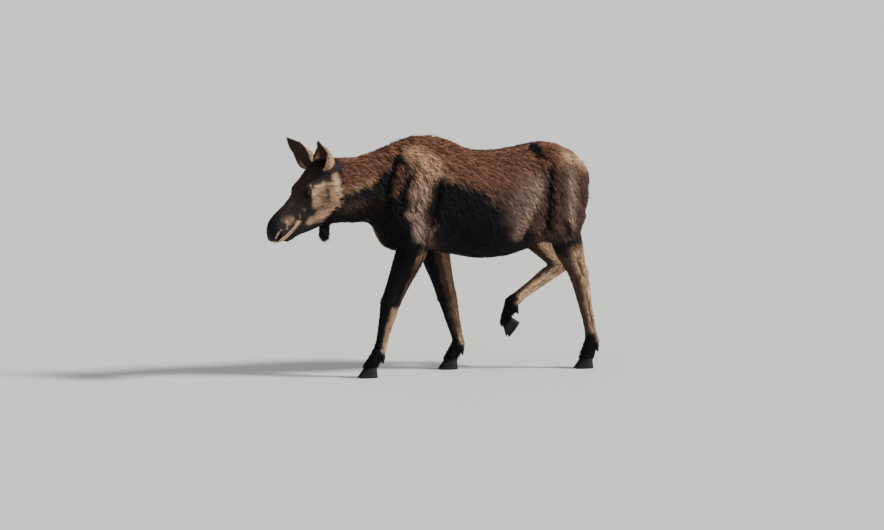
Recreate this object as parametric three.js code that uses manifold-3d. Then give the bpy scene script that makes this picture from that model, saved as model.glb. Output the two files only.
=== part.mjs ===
// A young cow moose, life size, walking: three feet on the ground and the right hind foot lifted.
//
// Every flesh part is cut from one smooth form, which is a function of a point: below zero inside the
// animal and above zero outside. The form joins a barrel (trunk and neck), a head, muscle masses and four
// limbs. A part's mesh is then found ring by ring, by looking outwards from a line inside that part.
//
// Millimetres. Points are written as forward, left, up, from the ground under the middle of the trunk. The
// group turns them so that the animal faces -X with its left side towards -Y, and moves them so that the
// origin is on the ground under the middle of its whole length.

import * as THREE from "three";
import { mergeVertices } from "three/addons/utils/BufferGeometryUtils.js";
import Module from "manifold-3d";

const wasm = await Module();
wasm.setup();

// ---------------------------------------------------------------------------------------------- sizes

const GAP = 0.4; // clear space between neighbouring parts
const MIDDLE_FORWARD = 380.7; // the middle of the whole length, forward of the middle of the trunk

const degrees = THREE.MathUtils.degToRad;

// Trunk and neck: forward, back line, belly line, half width, height of the widest place, and how round
// the upper half is (2 is an ellipse, less is a ridge).
const BARREL = [
  [-742, 1400, 1160, 70, 1290, 2.0],
  [-712, 1450, 1066, 130, 1270, 2.0],
  [-656, 1504, 985, 180, 1255, 2.0],
  [-560, 1547, 930, 212, 1245, 2.05],
  [-450, 1567, 880, 230, 1215, 2.0],
  [-330, 1559, 825, 245, 1160, 1.95],
  [-180, 1533, 784, 258, 1110, 1.95],
  [0, 1525, 773, 262, 1085, 1.9],
  [130, 1547, 790, 250, 1095, 1.8],
  [240, 1604, 814, 232, 1110, 1.65],
  [340, 1641, 838, 214, 1110, 1.5],
  [430, 1650, 848, 198, 1110, 1.45],
  [520, 1647, 852, 184, 1105, 1.45],
  [610, 1622, 850, 168, 1110, 1.5],
  [690, 1595, 880, 150, 1140, 1.6],
  [750, 1569, 968, 134, 1190, 1.7],
  [810, 1546, 1040, 122, 1235, 1.8],
  [880, 1522, 1046, 116, 1265, 1.9],
  [960, 1508, 1046, 112, 1275, 1.9],
  [1040, 1513, 1046, 108, 1275, 1.9],
  [1100, 1514, 1048, 100, 1275, 2.0],
  [1150, 1478, 1054, 86, 1275, 2.0],
  [1190, 1420, 1100, 60, 1270, 2.0],
];
const BELLY_ROUNDNESS = 2.15;
const NECK_BEND = { from: 740, rate: 0.00019 }; // the neck turns to the left from here
const NECK = { start: 668, length: 472, lean: degrees(17), headLean: degrees(-6) }; // leans of its sections
const WITHERS = [250, 640]; // the trunk's sections begin to lean back here, and have the neck's lean here
const RUMP = { forward: -560, lean: degrees(-78) }; // where the sections fan out to close the rump

// Muscle masses: from, to, half depth and half width at each end, and the fillet where it joins the rest.
const BLADE = { bladeTop: [430, 92, 1500], bladeRear: [330, 130, 1330] };
const SHOULDER_POINT = { fore_left: [672, 138, 1160], fore_right: [610, -138, 1150] };
const SHOULDER = [
  ["bladeTop", "point", [74, 46], [92, 60], 70],
  ["bladeRear", "elbow", [70, 52], [112, 70], 90],
  ["point", "elbow", [94, 62], [104, 70], 60],
];
const CROUP = { hip: [-470, 112, 1425], seat: [-664, 84, 1318], thigh: [-560, 128, 1190] };
const HAM_BEHIND_STIFLE = [-108, 0, 26];
const HAUNCH = [
  ["hip", "seat", [96, 92], [84, 72], 80],
  ["thigh", "stifle", [170, 104], [128, 84], 80],
  ["seat", "ham", [78, 78], [76, 62], 70],
];
const BRISKET = { forward: 644, side: 60, up: 962, deep: 82, high: 84, fillet: 80 };

// Head: a frame of its own, with its origin at the poll, along the face to the lips.
const POLL = [1100, 26, 1436];
const HEAD_TURN = degrees(14); // to the left
const HEAD_DOWN = degrees(44);
// Along the face, face line, jaw line, half width, height of the widest place, roundness of the face line.
const SKULL = [
  [-50, 50, -120, 72, -20, 2.0],
  [-10, 80, -180, 92, -30, 2.0],
  [50, 118, -216, 101, -45, 2.1],
  [120, 126, -236, 100, -50, 2.2],
  [200, 115, -245, 96, -50, 2.4],
  [270, 100, -240, 88, -45, 2.3],
  [340, 90, -234, 76, -40, 2.1],
  [410, 86, -200, 68, -35, 2.1],
  [480, 93, -158, 66, -25, 2.1],
  [540, 98, -112, 67, -17, 2.15],
  [590, 89, -94, 68, -12, 2.2],
  [630, 63, -75, 62, -12, 2.2],
  [655, 31, -55, 50, -16, 2.1],
  [672, -3, -40, 30, -22, 2.0],
];
const JAW_ROUNDNESS = 2.35;
// Masses on each side of the head, in its own frame: from, to, half sizes at each end, and the fillet.
const FACE = [
  [[222, 76, 58], [292, 78, 52], [30, 20], [30, 18], 22], // rim of the eye
  [[95, 62, -110], [190, 60, -118], [74, 30], [66, 28], 40], // cheek muscle
  [[330, 52, 0], [250, 72, 0], [22, 16], [26, 18], 30], // cheekbone
  [[60, 70, 40], [74, 88, 62], [34, 32], [26, 30], 24], // root of the ear
  [[585, 40, 8], [628, 42, -8], [34, 24], [26, 20], 26], // wing of the nostril
];
const CHIN = [[500, 0, -114], [572, 0, -108], [32, 38], [24, 32], 14];
// The middle line that the head's rings are seen from: its ends, its drop below the poll, and at the lips.
const HEAD_LINE = { from: 30, to: 590, drop: -40, lipsFrom: 560, lipsDrop: -14 };
const HEAD_ENDS = { occiput: degrees(-72), lips: degrees(76) };

// The joints of each limb: elbow or stifle, knee or hock, fetlock, and the middle of the hoof's upper edge.
const LIMBS = {
  fore_left: [[517, 158, 950], [706, 148, 503], [777, 136, 184], [845, 134, 72]],
  fore_right: [[312, -158, 940], [186, -146, 496], [107, -136, 184], [166, -134, 72]],
  hind_left: [[-528, 158, 946], [-682, 140, 604], [-777, 132, 200], [-731, 132, 72]],
  hind_right: [[-374, -155, 980], [-630, -140, 689], [-280, -130, 448], [-246, -130, 318]],
};
const LIFTED_FOOT_PITCH = degrees(52); // toes down, on the right hind foot

// Girth of a fore limb: from joint, share of the way to the next, half depth fore and aft, half width.
const FORE_GIRTH = [
  [0, 0, 100, 68],
  [0, 0.16, 107, 72],
  [0, 0.35, 102, 66],
  [0, 0.5, 94, 60],
  [0, 0.7, 83, 52],
  [0, 0.88, 74, 50],
  [1, 0, 72, 54],
  [1, 0.16, 68, 49],
  [1, 0.34, 60, 41],
  [1, 0.55, 53, 36],
  [1, 0.8, 44, 33],
  [2, 0, 47, 43],
  [2, 0.5, 43, 45],
  [2, 1, 49, 53],
];
const HIND_GIRTH = [
  [0, 0, 94, 72],
  [0, 0.25, 90, 66],
  [0, 0.5, 82, 56],
  [0, 0.75, 64, 46],
  [1, 0, 60, 50],
  [1, 0.2, 56, 44],
  [1, 0.4, 51, 38],
  [1, 0.65, 45, 34],
  [1, 0.87, 43, 33],
  [2, 0, 50, 43],
  [2, 0.5, 48, 46],
  [2, 1, 49, 53],
];
const HOCK_POINT = { up: 58, back: 44, radius: 24 }; // from the hock joint, along and behind the cannon

const HOCK_TENDON = { share: 0.12, back: 92, deep: 60, wide: 44, fillet: 40 }; // up the gaskin
const CANNON_TENDON = { share: 0.55, back: 20, below: 30, radius: 20, fillet: 20 }; // down the cannon
const HEEL = { deep: 40, wide: 34, fillet: 30 };
const BEND = 55; // how far a joint's bend spreads along a limb's middle line
const LIMB_SIDES = 12;

const EYE = { along: 268, side: 84, up: 44, radius: 19, columns: 12, rows: 8 };
// Ears, left then right: how wide each leaf is, where its tip is, and which way its cup opens.
const EAR = { along: 58, side: 74, up: 62, below: 30, widths: [192, 150], wall: 8, point: 3 };
const EAR_CURLS = { root: 2.4, tip: 0.75 }; // half the cup's arc
const EAR_EDGE = 0.75; // an angle: the cup's wall thins by its cosine towards its edges
const EAR_TIPS = [[1224, 165, 1628], [1334, -178, 1630]];
const EAR_MOUTHS = [[0.92, 0.18, 0.1], [0.96, 0.2, 0.1]];
const EAR_SWEEPS = [[-0.05, 0.9], [-0.1, 1.1]]; // how far the cup leans to its opening, at root and tip
const NOSTRIL = { along: 622, side: 62, up: -10, half: [30, 10, 9], slant: 0.32 };
const MOUTH = [[700, -28], [648, -40], [590, -56], [510, -64], [440, -62]]; // along, up
const JAW_EDGE = [[320, -90], [180, -96], [60, -70]]; // the jaw's upper edge behind the lips

const BELL = { forward: 1146, side: 28, top: 1140, bottom: 974, deep: 50, wide: 19 };
const TAIL = { forward: -726, top: 1412, back: 60, length: 130, deep: 17, wide: 26 };

// One claw of a hoof, from the middle of the hoof's upper edge: heel and toe of the sole, and of the top.
const HOOF = { sole: [-46, 88], top: [-38, 34], wide: 25, apart: 26.5, height: 72, sides: 12, rows: 4 };
const TOE_TAPER = { sole: 0.42, top: 0.17, power: 1.5 };
const INNER_FLATNESS = 0.78;
const HEEL_SLOPE = 0.7; // a power: below 1, the heel is hollow under the hoof's upper edge
// From the fetlock: how far behind the root and the point are, and how far down the root is.
const DEWCLAW = { root: 34, point: 54, down: 24, side: 26, length: 40, deep: 14, wide: 12 };

// ---------------------------------------------------------------------------------- small vector tools

const ORIGIN = [0, 0, 0];
const LEFT = [0, 1, 0];
const add = (a, b, k = 1) => [a[0] + k * b[0], a[1] + k * b[1], a[2] + k * b[2]];
const dot = (a, b) => a[0] * b[0] + a[1] * b[1] + a[2] * b[2];
const cross = (a, b) => [a[1] * b[2] - a[2] * b[1], a[2] * b[0] - a[0] * b[2], a[0] * b[1] - a[1] * b[0]];
const times = (a, k) => add(ORIGIN, a, k);
const distance = (a, b) => Math.hypot(...add(b, a, -1));
const unit = (a) => times(a, 1 / Math.hypot(...a));
const between = (a, b, t) => add(a, add(b, a, -1), t);
const mirrored = (p, side) => [p[0], p[1] * side, p[2]];
const lerp = THREE.MathUtils.lerp;
const range = (count, at) => Array.from({ length: count }, (_, i) => at(i / (count - 1)));

// A frame in the animal: a point, its own forward, left and up axes, and ways out of it and into it.
function frameAt(origin, turn, down) {
  const forward = [Math.cos(turn) * Math.cos(down), Math.sin(turn) * Math.cos(down), -Math.sin(down)];
  const left = [-Math.sin(turn), Math.cos(turn), 0];
  const up = cross(forward, left);
  const out = (x, y, z) => add(add(add(origin, forward, x), left, y), up, z);
  const into = (p) => {
    const v = add(p, origin, -1);
    return [dot(v, forward), dot(v, left), dot(v, up)];
  };
  return { forward, left, up, out, into };
}

// A smooth curve through the rows of a table, each column against the first.
function smoothRows(rows, x) {
  const last = rows.length - 1;
  if (x <= rows[0][0]) return rows[0];
  if (x >= rows[last][0]) return rows[last];
  let i = 0;
  while (rows[i + 1][0] < x) i++;
  const span = rows[i + 1][0] - rows[i][0];
  const t = (x - rows[i][0]) / span;
  const slope = (j, c) => {
    const a = Math.max(j - 1, 0);
    const b = Math.min(j + 1, last);
    return (rows[b][c] - rows[a][c]) / (rows[b][0] - rows[a][0]);
  };
  return rows[i].map((v, c) => {
    const w = rows[i + 1][c];
    const rise = t * t * (3 - 2 * t);
    return v + (w - v) * rise + span * t * (1 - t) * ((1 - t) * slope(i, c) - t * slope(i + 1, c));
  });
}

// ------------------------------------------------------------------------------------ pieces of the form

const TINY = 1e-6;

// Joins two forms with a fillet about as large as k.
function blend(a, b, k) {
  const near = Math.max(k - Math.abs(a - b), 0) / k;
  return Math.min(a, b) - (near * near * k) / 4;
}

// How far a point lies outside an oval section, measured from the oval's middle.
function outsideOval(y, z, wide, high, roundness) {
  const share = (Math.abs(y / wide) ** roundness + Math.abs(z / high) ** roundness) ** (1 / roundness);
  return Math.hypot(y, z) * (1 - 1 / Math.max(share, TINY));
}

// A body whose sections come from a table with the columns of BARREL and SKULL.
function sectioned(rows, lowerRoundness) {
  const first = rows[0][0];
  const last = rows[rows.length - 1][0];
  return (x, y, z) => {
    const [, top, bottom, wide, mid, roundness] = smoothRows(rows, x);
    const outside =
      z > mid
        ? outsideOval(y, z - mid, wide, top - mid, roundness)
        : outsideOval(y, z - mid, wide, mid - bottom, lowerRoundness);
    const beyond = Math.max(first - x, x - last, 0);
    return beyond > 0 ? Math.hypot(beyond, Math.max(outside, 0)) : outside;
  };
}

// A muscle or limb length with oval sections, from a to b. Each end has a half depth and a half width.
function tube(a, b, [deepA, wideA], [deepB, wideB], across = LEFT) {
  const along = unit(add(b, a, -1));
  const length = distance(a, b);
  const side = unit(add(across, along, -dot(across, along)));
  const fore = cross(side, along);
  return (p) => {
    const v = add(p, a, -1);
    const s = dot(v, along);
    const h = Math.min(Math.max(s / length, 0), 1);
    const deep = lerp(deepA, deepB, h);
    const wide = lerp(wideA, wideB, h);
    const [f, l, x] = [dot(v, fore), dot(v, side), s - h * length];
    const share = Math.hypot(f / deep, l / wide, (2 * x) / (deep + wide));
    return Math.hypot(f, l, x) * (1 - 1 / Math.max(share, TINY));
  };
}

// A form with masses added to it. A mass is a form and the fillet that joins it to the rest.
function withMasses(base, masses) {
  return (p) => masses.reduce((d, [mass, fillet]) => blend(d, mass(p), fillet), base(p));
}

const barrelSections = sectioned(BARREL, BELLY_ROUNDNESS);
const neckShift = (forward) => NECK_BEND.rate * Math.max(forward - NECK_BEND.from, 0) ** 2;
const barrel = (p) => barrelSections(p[0], p[1] - neckShift(p[0]), p[2]);

const head = frameAt(POLL, HEAD_TURN, HEAD_DOWN);
const skullSections = sectioned(SKULL, JAW_ROUNDNESS);
const faceMass = ([from, to, sizeFrom, sizeTo, fillet], side) => [
  tube(head.out(...mirrored(from, side)), head.out(...mirrored(to, side)), sizeFrom, sizeTo, head.left),
  fillet,
];
const faceMasses = [1, -1].flatMap((side) => FACE.map((mass) => faceMass(mass, side)));
const headForm = withMasses((p) => skullSections(...head.into(p)), [...faceMasses, faceMass(CHIN, 1)]);

// The masses of a table such as HAUNCH, between named places.
const massesBetween = (table, places) =>
  table.map(([from, to, sizeFrom, sizeTo, fillet]) => [
    tube(places[from], places[to], sizeFrom, sizeTo),
    fillet,
  ]);
const onSide = (places, side) =>
  Object.fromEntries(Object.entries(places).map(([name, place]) => [name, mirrored(place, side)]));
function shoulder(limb, side) {
  const places = { ...onSide(BLADE, side), point: SHOULDER_POINT[limb], elbow: LIMBS[limb][0] };
  return massesBetween(SHOULDER, places);
}
function haunch(limb, side) {
  const [stifle] = LIMBS[limb];
  const places = { ...onSide(CROUP, side), stifle, ham: add(stifle, HAM_BEHIND_STIFLE) };
  return massesBetween(HAUNCH, places);
}
const brisketSize = [BRISKET.deep, BRISKET.high];
const [brisketLeft, brisketRight] = [1, -1].map((side) => [BRISKET.forward, side * BRISKET.side, BRISKET.up]);
const trunkForm = withMasses(barrel, [
  ...shoulder("fore_left", 1),
  ...shoulder("fore_right", -1),
  ...haunch("hind_left", 1),
  ...haunch("hind_right", -1),
  [tube(brisketLeft, brisketRight, brisketSize, brisketSize, [1, 0, 0]), BRISKET.fillet],
]);

// The heel bone above and behind the hock, and the tendons that run from it up the gaskin and down.
function hockMasses([stifle, hock, fetlock]) {
  const up = unit(add(hock, fetlock, -1));
  const back = unit(cross(up, LEFT));
  const { radius } = HOCK_POINT;
  const point = add(add(hock, up, HOCK_POINT.up), back, HOCK_POINT.back);
  const tendonTop = add(between(stifle, hock, HOCK_TENDON.share), back, HOCK_TENDON.back);
  const tendonEnd = add(between(hock, fetlock, CANNON_TENDON.share), back, CANNON_TENDON.back);
  const round = [radius, radius];
  const thin = [CANNON_TENDON.radius, CANNON_TENDON.radius];
  return [
    [tube(hock, point, [HEEL.deep, HEEL.wide], round), HEEL.fillet],
    [tube(point, tendonTop, round, [HOCK_TENDON.deep, HOCK_TENDON.wide]), HOCK_TENDON.fillet],
    [tube(add(point, up, -CANNON_TENDON.below), tendonEnd, thin, thin), CANNON_TENDON.fillet],
  ];
}

// A limb's form from its joints and a table such as FORE_GIRTH.
function limbForm(joints, girth, masses) {
  const stations = girth.map(([joint, share, ...size]) => {
    const next = Math.min(joint + 1, joints.length - 1);
    return { at: between(joints[joint], joints[next], share), size };
  });
  const tubes = stations.slice(1).map((to, i) => tube(stations[i].at, to.at, stations[i].size, to.size));
  return withMasses((p) => Math.min(...tubes.map((t) => t(p))), masses);
}

// The part of a form on one side of a stop's plane: before it with side 1, and past it with side -1.
const cutAt = (form, { middle, axis }, side) => (p) =>
  Math.max(form(p), side * dot(add(p, middle, -1), axis) + 0.4 * GAP);

const swollen = (form) => (p) => form(p) - GAP;

// ---------------------------------------------------------------------------------------- from form to mesh

const STEP = 7;
const HALVINGS = 12;

// The first place where a ray from inside the form leaves it.
function edgeOf(form, from, direction, reach) {
  let near = 0;
  let far = STEP;
  while (far < reach && form(add(from, direction, far)) < 0) {
    near = far;
    far += STEP;
  }
  for (let i = 0; i < HALVINGS; i++) {
    const middle = (near + far) / 2;
    if (form(add(from, direction, middle)) < 0) near = middle;
    else far = middle;
  }
  return add(from, direction, near);
}

// Closes rings of points into a mesh, with one point over the first ring and one over the last.
function skinOf(rings, firstTip, lastTip) {
  const sides = rings[0].length;
  const points = [...rings.flat(), firstTip, lastTip];
  const last = (rings.length - 1) * sides;
  const faces = [];
  for (let k = 0; k < sides; k++) {
    const next = (k + 1) % sides;
    for (let row = 0; row < last; row += sides) {
      faces.push(row + k, row + next, row + sides + next);
      faces.push(row + k, row + sides + next, row + sides + k);
    }
    faces.push(points.length - 2, next, k);
    faces.push(points.length - 1, last + k, last + next);
  }
  const geometry = new THREE.BufferGeometry();
  geometry.setAttribute("position", new THREE.Float32BufferAttribute(points.flat(), 3));
  geometry.setIndex(faces);
  return solid(geometry);
}

// Rings round a line of stops. A stop has a middle, an axis, and a lean: 0 looks square to the axis, and
// 90 degrees looks along it, so that leaning stops close a round end.
function wrap(form, stops, sides, reach = 600) {
  const rings = stops.map(({ middle, axis, across = LEFT, lean = 0 }) => {
    const side = unit(add(across, axis, -dot(across, axis)));
    const rise = cross(axis, side);
    return Array.from({ length: sides }, (_, k) => {
      const angle = (2 * Math.PI * (k + 0.5)) / sides;
      const square = add(times(side, Math.cos(angle)), rise, Math.sin(angle));
      const direction = add(times(square, Math.cos(lean)), axis, Math.sin(lean));
      return edgeOf(form, middle, direction, reach);
    });
  });
  const tip = ({ middle, axis, lean = 0 }) =>
    lean === 0 ? middle : edgeOf(form, middle, times(axis, Math.sign(lean)), reach);
  return skinOf(rings, tip(stops[0]), tip(stops[stops.length - 1]));
}

// A round-ended piece along a straight line, seen from its middle line.
function plug(form, from, to, sides) {
  const stop = { axis: unit(add(to, from, -1)) };
  const ends = [degrees(60), degrees(30)];
  return wrap(
    form,
    [
      ...ends.map((lean) => ({ ...stop, middle: from, lean: -lean })),
      ...range(3, (t) => ({ ...stop, middle: between(from, to, t) })),
      ...ends.reverse().map((lean) => ({ ...stop, middle: to, lean })),
    ],
    sides,
  );
}

function solid(geometry) {
  const bare = geometry.clone();
  bare.deleteAttribute("normal");
  bare.deleteAttribute("uv");
  const merged = mergeVertices(bare, 1e-3);
  return new wasm.Manifold(
    new wasm.Mesh({
      numProp: 3,
      vertProperties: merged.attributes.position.array,
      triVerts: new Uint32Array(merged.index.array),
    }),
  );
}

const largest = (manifold) => manifold.decompose().reduce((a, b) => (b.volume() > a.volume() ? b : a));

function geometryOf(manifold) {
  const mesh = manifold.getMesh();
  const geometry = new THREE.BufferGeometry();
  geometry.setAttribute("position", new THREE.BufferAttribute(mesh.vertProperties, 3));
  geometry.setIndex(new THREE.BufferAttribute(mesh.triVerts, 1));
  geometry.computeVertexNormals();
  return geometry;
}

// ------------------------------------------------------------------------------------------------ parts

const finish = (color, roughness) => new THREE.MeshStandardMaterial({ color, roughness, metalness: 0 });
const MATERIALS = {
  brownCoat: () => finish(0x4a3427, 0.85),
  darkCoat: () => finish(0x241c1a, 0.85),
  tanCoat: () => finish(0x9a7a5c, 0.85),
  horn: () => finish(0x1d1a19, 0.45),
  eye: () => finish(0x120b08, 0.1),
};

const group = new THREE.Group();
function place(name, manifold, material) {
  const mesh = new THREE.Mesh(geometryOf(manifold), MATERIALS[material]());
  mesh.name = name;
  group.add(mesh);
}

// The line through the trunk and neck. Its sections are upright at the loins and lean back at the neck.
function spineStop(forward) {
  const [, top, bottom] = smoothRows(BARREL, forward);
  const lean = NECK.lean * THREE.MathUtils.smoothstep(forward, ...WITHERS);
  return {
    middle: [forward, neckShift(forward), (top + bottom) / 2],
    axis: [Math.cos(lean), 0, Math.sin(lean)],
  };
}
// A stop moved along by half gaps: by 1 or -1, to leave a gap between the parts on its two sides.
const beside = ({ middle, axis }, halfGaps) => ({ middle: add(middle, axis, (halfGaps * GAP) / 2), axis });
const TRUNK_SIDES = 26;

function trunkSolid(form) {
  const rear = spineStop(RUMP.forward);
  const rump = range(6, (t) => ({ ...rear, lean: RUMP.lean * (1 - t) })).slice(0, -1);
  const barrelStops = range(20, (t) => spineStop(lerp(RUMP.forward, NECK.start, t))).slice(0, -1);
  return wrap(form, [...rump, ...barrelStops, beside(spineStop(NECK.start), -1)], TRUNK_SIDES);
}
function neckSolid(form, pastEnd) {
  const stops = range(8, (t) => {
    const lean = lerp(NECK.lean, NECK.headLean, t);
    const { middle } = spineStop(NECK.start + NECK.length * t);
    return { middle, axis: [Math.cos(lean), 0, Math.sin(lean)] };
  });
  const end = beside(stops.pop(), pastEnd);
  return wrap(form, [beside(stops[0], 1), ...stops.slice(1), end], TRUNK_SIDES);
}
const HEAD_SIDES = 22;
function headSolid(form) {
  const at = (x) => ({
    middle: head.out(x, 0, x > HEAD_LINE.lipsFrom ? HEAD_LINE.lipsDrop : HEAD_LINE.drop),
    axis: head.forward,
    across: head.left,
  });
  const [first, last] = [at(HEAD_LINE.from), at(HEAD_LINE.to)];
  const occiput = range(4, (t) => ({ ...first, lean: HEAD_ENDS.occiput * (1 - t) })).slice(0, -1);
  const face = range(17, (t) => at(lerp(HEAD_LINE.from, HEAD_LINE.to, t)));
  const lips = range(6, (t) => ({ ...last, lean: HEAD_ENDS.lips * t })).slice(1);
  return wrap(form, [...occiput, ...face, ...lips], HEAD_SIDES);
}

const trunkCutter = trunkSolid(swollen(trunkForm));
const neckCutter = neckSolid(swollen(trunkForm), 2);
const headCutter = headSolid(swollen(headForm));
place("trunk", trunkSolid(trunkForm), "brownCoat");
place("neck", neckSolid(trunkForm, 0).subtract(headCutter), "brownCoat");

// The head, with sockets for the eyes, hollow nostrils, and the lower jaw parted from it along the mouth.
const headTurn = new THREE.Matrix4()
  .makeBasis(...[head.forward, head.left, head.up].map((axis) => new THREE.Vector3(...axis)))
  .setPosition(...POLL);

function eyeball(side, radius) {
  const ball = new THREE.SphereGeometry(radius, EYE.columns, EYE.rows);
  ball.translate(...mirrored([EYE.along, EYE.side, EYE.up], side));
  return solid(ball.applyMatrix4(headTurn));
}
function nostril(side) {
  const hollow = new THREE.SphereGeometry(1, 10, 6);
  hollow.scale(...NOSTRIL.half);
  hollow.rotateY(NOSTRIL.slant);
  hollow.translate(...mirrored([NOSTRIL.along, NOSTRIL.side, NOSTRIL.up], side));
  return solid(hollow.applyMatrix4(headTurn));
}
// Everything under the mouth line and its run back to the cheek, down from a lift above that line.
function jawBlock(lift) {
  const [wide, low, rear] = [500, -400, JAW_EDGE[JAW_EDGE.length - 1][0] - 20];
  const edge = [...MOUTH, ...JAW_EDGE].map(([x, z]) => new THREE.Vector2(x, z + lift));
  const corners = [new THREE.Vector2(MOUTH[0][0], low), ...edge, new THREE.Vector2(rear, low)];
  const block = new THREE.ExtrudeGeometry(new THREE.Shape(corners), { depth: wide, bevelEnabled: false });
  block.rotateX(Math.PI / 2);
  block.translate(0, wide / 2, 0);
  return solid(block.applyMatrix4(headTurn));
}

const hollows = [1, -1].flatMap((side) => [eyeball(side, EYE.radius + GAP), nostril(side)]);
const hollowHead = hollows.reduce((rest, hollow) => rest.subtract(hollow), headSolid(headForm));
place("head", hollowHead.subtract(jawBlock(0)), "darkCoat");
place("lower_jaw", hollowHead.intersect(jawBlock(-GAP)), "darkCoat");
place("eye_left", eyeball(1, EYE.radius), "eye");
place("eye_right", eyeball(-1, EYE.radius), "eye");

// An ear: a leaf rolled into a cup at its root and nearly flat at its tip.
const EAR_ROWS = 9;
const EAR_COLUMNS = 7;
function ear(side, tip, opening, width, sweep) {
  const root = head.out(...mirrored([EAR.along, EAR.side, EAR.up], side));
  const axis = unit(add(tip, root, -1));
  const mouth = unit(add(opening, axis, -dot(opening, axis)));
  const across = cross(mouth, axis);
  const rings = range(EAR_ROWS, (t) => {
    const leaf = Math.sin(Math.PI * (0.16 + 0.83 * t ** 0.86)) ** 0.8; // widest a third of the way up
    const halfWidth = (width / 2) * leaf;
    const curl = lerp(EAR_CURLS.root, EAR_CURLS.tip, Math.min(1, t * 1.5));
    const radius = halfWidth / Math.sin(Math.min(curl, Math.PI / 2));
    const middle = add(between(root, tip, t), mouth, lerp(...sweep, t) * radius);
    const face = (inward) =>
      range(EAR_COLUMNS, (c) => {
        const angle = (2 * c - 1) * curl;
        const wall = EAR.wall * (1 - 0.45 * t) * Math.cos((EAR_EDGE * angle) / curl);
        const r = radius - (inward ? wall : 0);
        return add(add(middle, across, r * Math.sin(angle)), mouth, -r * Math.cos(angle));
      });
    return [...face(false), ...face(true).reverse()];
  });
  const middleOf = (ring) => ring.reduce((sum, p) => add(sum, p, 1 / ring.length), ORIGIN);
  const [below, point] = [add(root, axis, -EAR.below), add(middleOf(rings[EAR_ROWS - 1]), axis, EAR.point)];
  return skinOf(rings, below, point).subtract(headCutter);
}
place("ear_left", ear(1, EAR_TIPS[0], EAR_MOUTHS[0], EAR.widths[0], EAR_SWEEPS[0]), "tanCoat");
place("ear_right", ear(-1, EAR_TIPS[1], EAR_MOUTHS[1], EAR.widths[1], EAR_SWEEPS[1]), "tanCoat");

// The bell hangs from the throat, and the tail lies against the rump.
const bellRoot = [BELL.forward, BELL.side, BELL.top];
const bellEnd = [BELL.forward - 6, BELL.side, BELL.bottom];
const bellForm = tube(bellRoot, bellEnd, [BELL.deep, 1.3 * BELL.wide], [0.8 * BELL.deep, 0.8 * BELL.wide]);
const bell = plug(bellForm, bellRoot, bellEnd, 10);
place("bell", bell.subtract(neckCutter).subtract(headCutter), "darkCoat");

const tailRoot = [TAIL.forward, 0, TAIL.top];
const tailEnd = [TAIL.forward - TAIL.back, 0, TAIL.top - TAIL.length];
const tailForm = tube(tailRoot, tailEnd, [1.3 * TAIL.deep, TAIL.wide], [0.7 * TAIL.deep, 0.6 * TAIL.wide]);
place("tail", plug(tailForm, tailRoot, tailEnd, 8).subtract(trunkCutter), "brownCoat");

// ------------------------------------------------------------------------------------------------ limbs

// The middle line of a limb, rounded at its joints. Places on it are measured from its first joint.
function limbLine(joints) {
  const lengths = joints.slice(1).map((joint, i) => distance(joints[i], joint));
  const pointAt = (along) => {
    let i = 0;
    let rest = along;
    while (i < lengths.length - 1 && rest > lengths[i]) rest -= lengths[i++];
    return between(joints[i], joints[i + 1], rest / lengths[i]);
  };
  const stopAt = (along) => {
    const [before, after] = [pointAt(along - BEND), pointAt(along + BEND)];
    const middle = between(between(before, after, 0.5), pointAt(along), 0.5);
    return { middle, axis: unit(add(after, before, -1)) };
  };
  return { lengths, stopAt };
}

// One claw of a hoof, from its flat sole up to the hoof's upper edge, in the foot's own frame.
function claw(foot, side) {
  const rings = range(HOOF.rows, (t) => {
    const heel = lerp(HOOF.sole[0], HOOF.top[0], t ** HEEL_SLOPE);
    const toe = lerp(HOOF.sole[1], HOOF.top[1], t);
    const up = lerp(-HOOF.height, -GAP, t);
    return Array.from({ length: HOOF.sides }, (_, k) => {
      const angle = (2 * Math.PI * k) / HOOF.sides;
      const forward = (heel + toe) / 2 + ((toe - heel) / 2) * Math.cos(angle);
      const towardsToe = ((1 + Math.cos(angle)) / 2) ** TOE_TAPER.power;
      const taper = 1 - lerp(TOE_TAPER.sole, TOE_TAPER.top, t) * towardsToe;
      const inner = Math.sin(angle) * side < 0 ? INNER_FLATNESS : 1;
      return foot.out(forward, side * HOOF.apart + HOOF.wide * inner * taper * Math.sin(angle), up);
    });
  });
  const [bottom, top] = [-HOOF.height, -GAP].map((up) => foot.out(0, side * HOOF.apart, up));
  return skinOf(rings, bottom, top);
}

// The small horn behind the fetlock, on one side.
function dewclaw([, , fetlock, coronet], side, flesh) {
  const down = unit(add(coronet, fetlock, -1));
  const back = cross(LEFT, down);
  const at = (behind, below) => add(add(add(fetlock, back, behind), down, below), LEFT, side * DEWCLAW.side);
  const root = at(DEWCLAW.root, DEWCLAW.down);
  const point = at(DEWCLAW.point, DEWCLAW.down + DEWCLAW.length);
  const { deep, wide } = DEWCLAW;
  const form = tube(root, point, [1.2 * deep, 1.2 * wide], [0.6 * deep, 0.6 * wide]);
  return largest(flesh.reduce((rest, part) => rest.subtract(part), plug(form, root, point, 6)));
}

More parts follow.
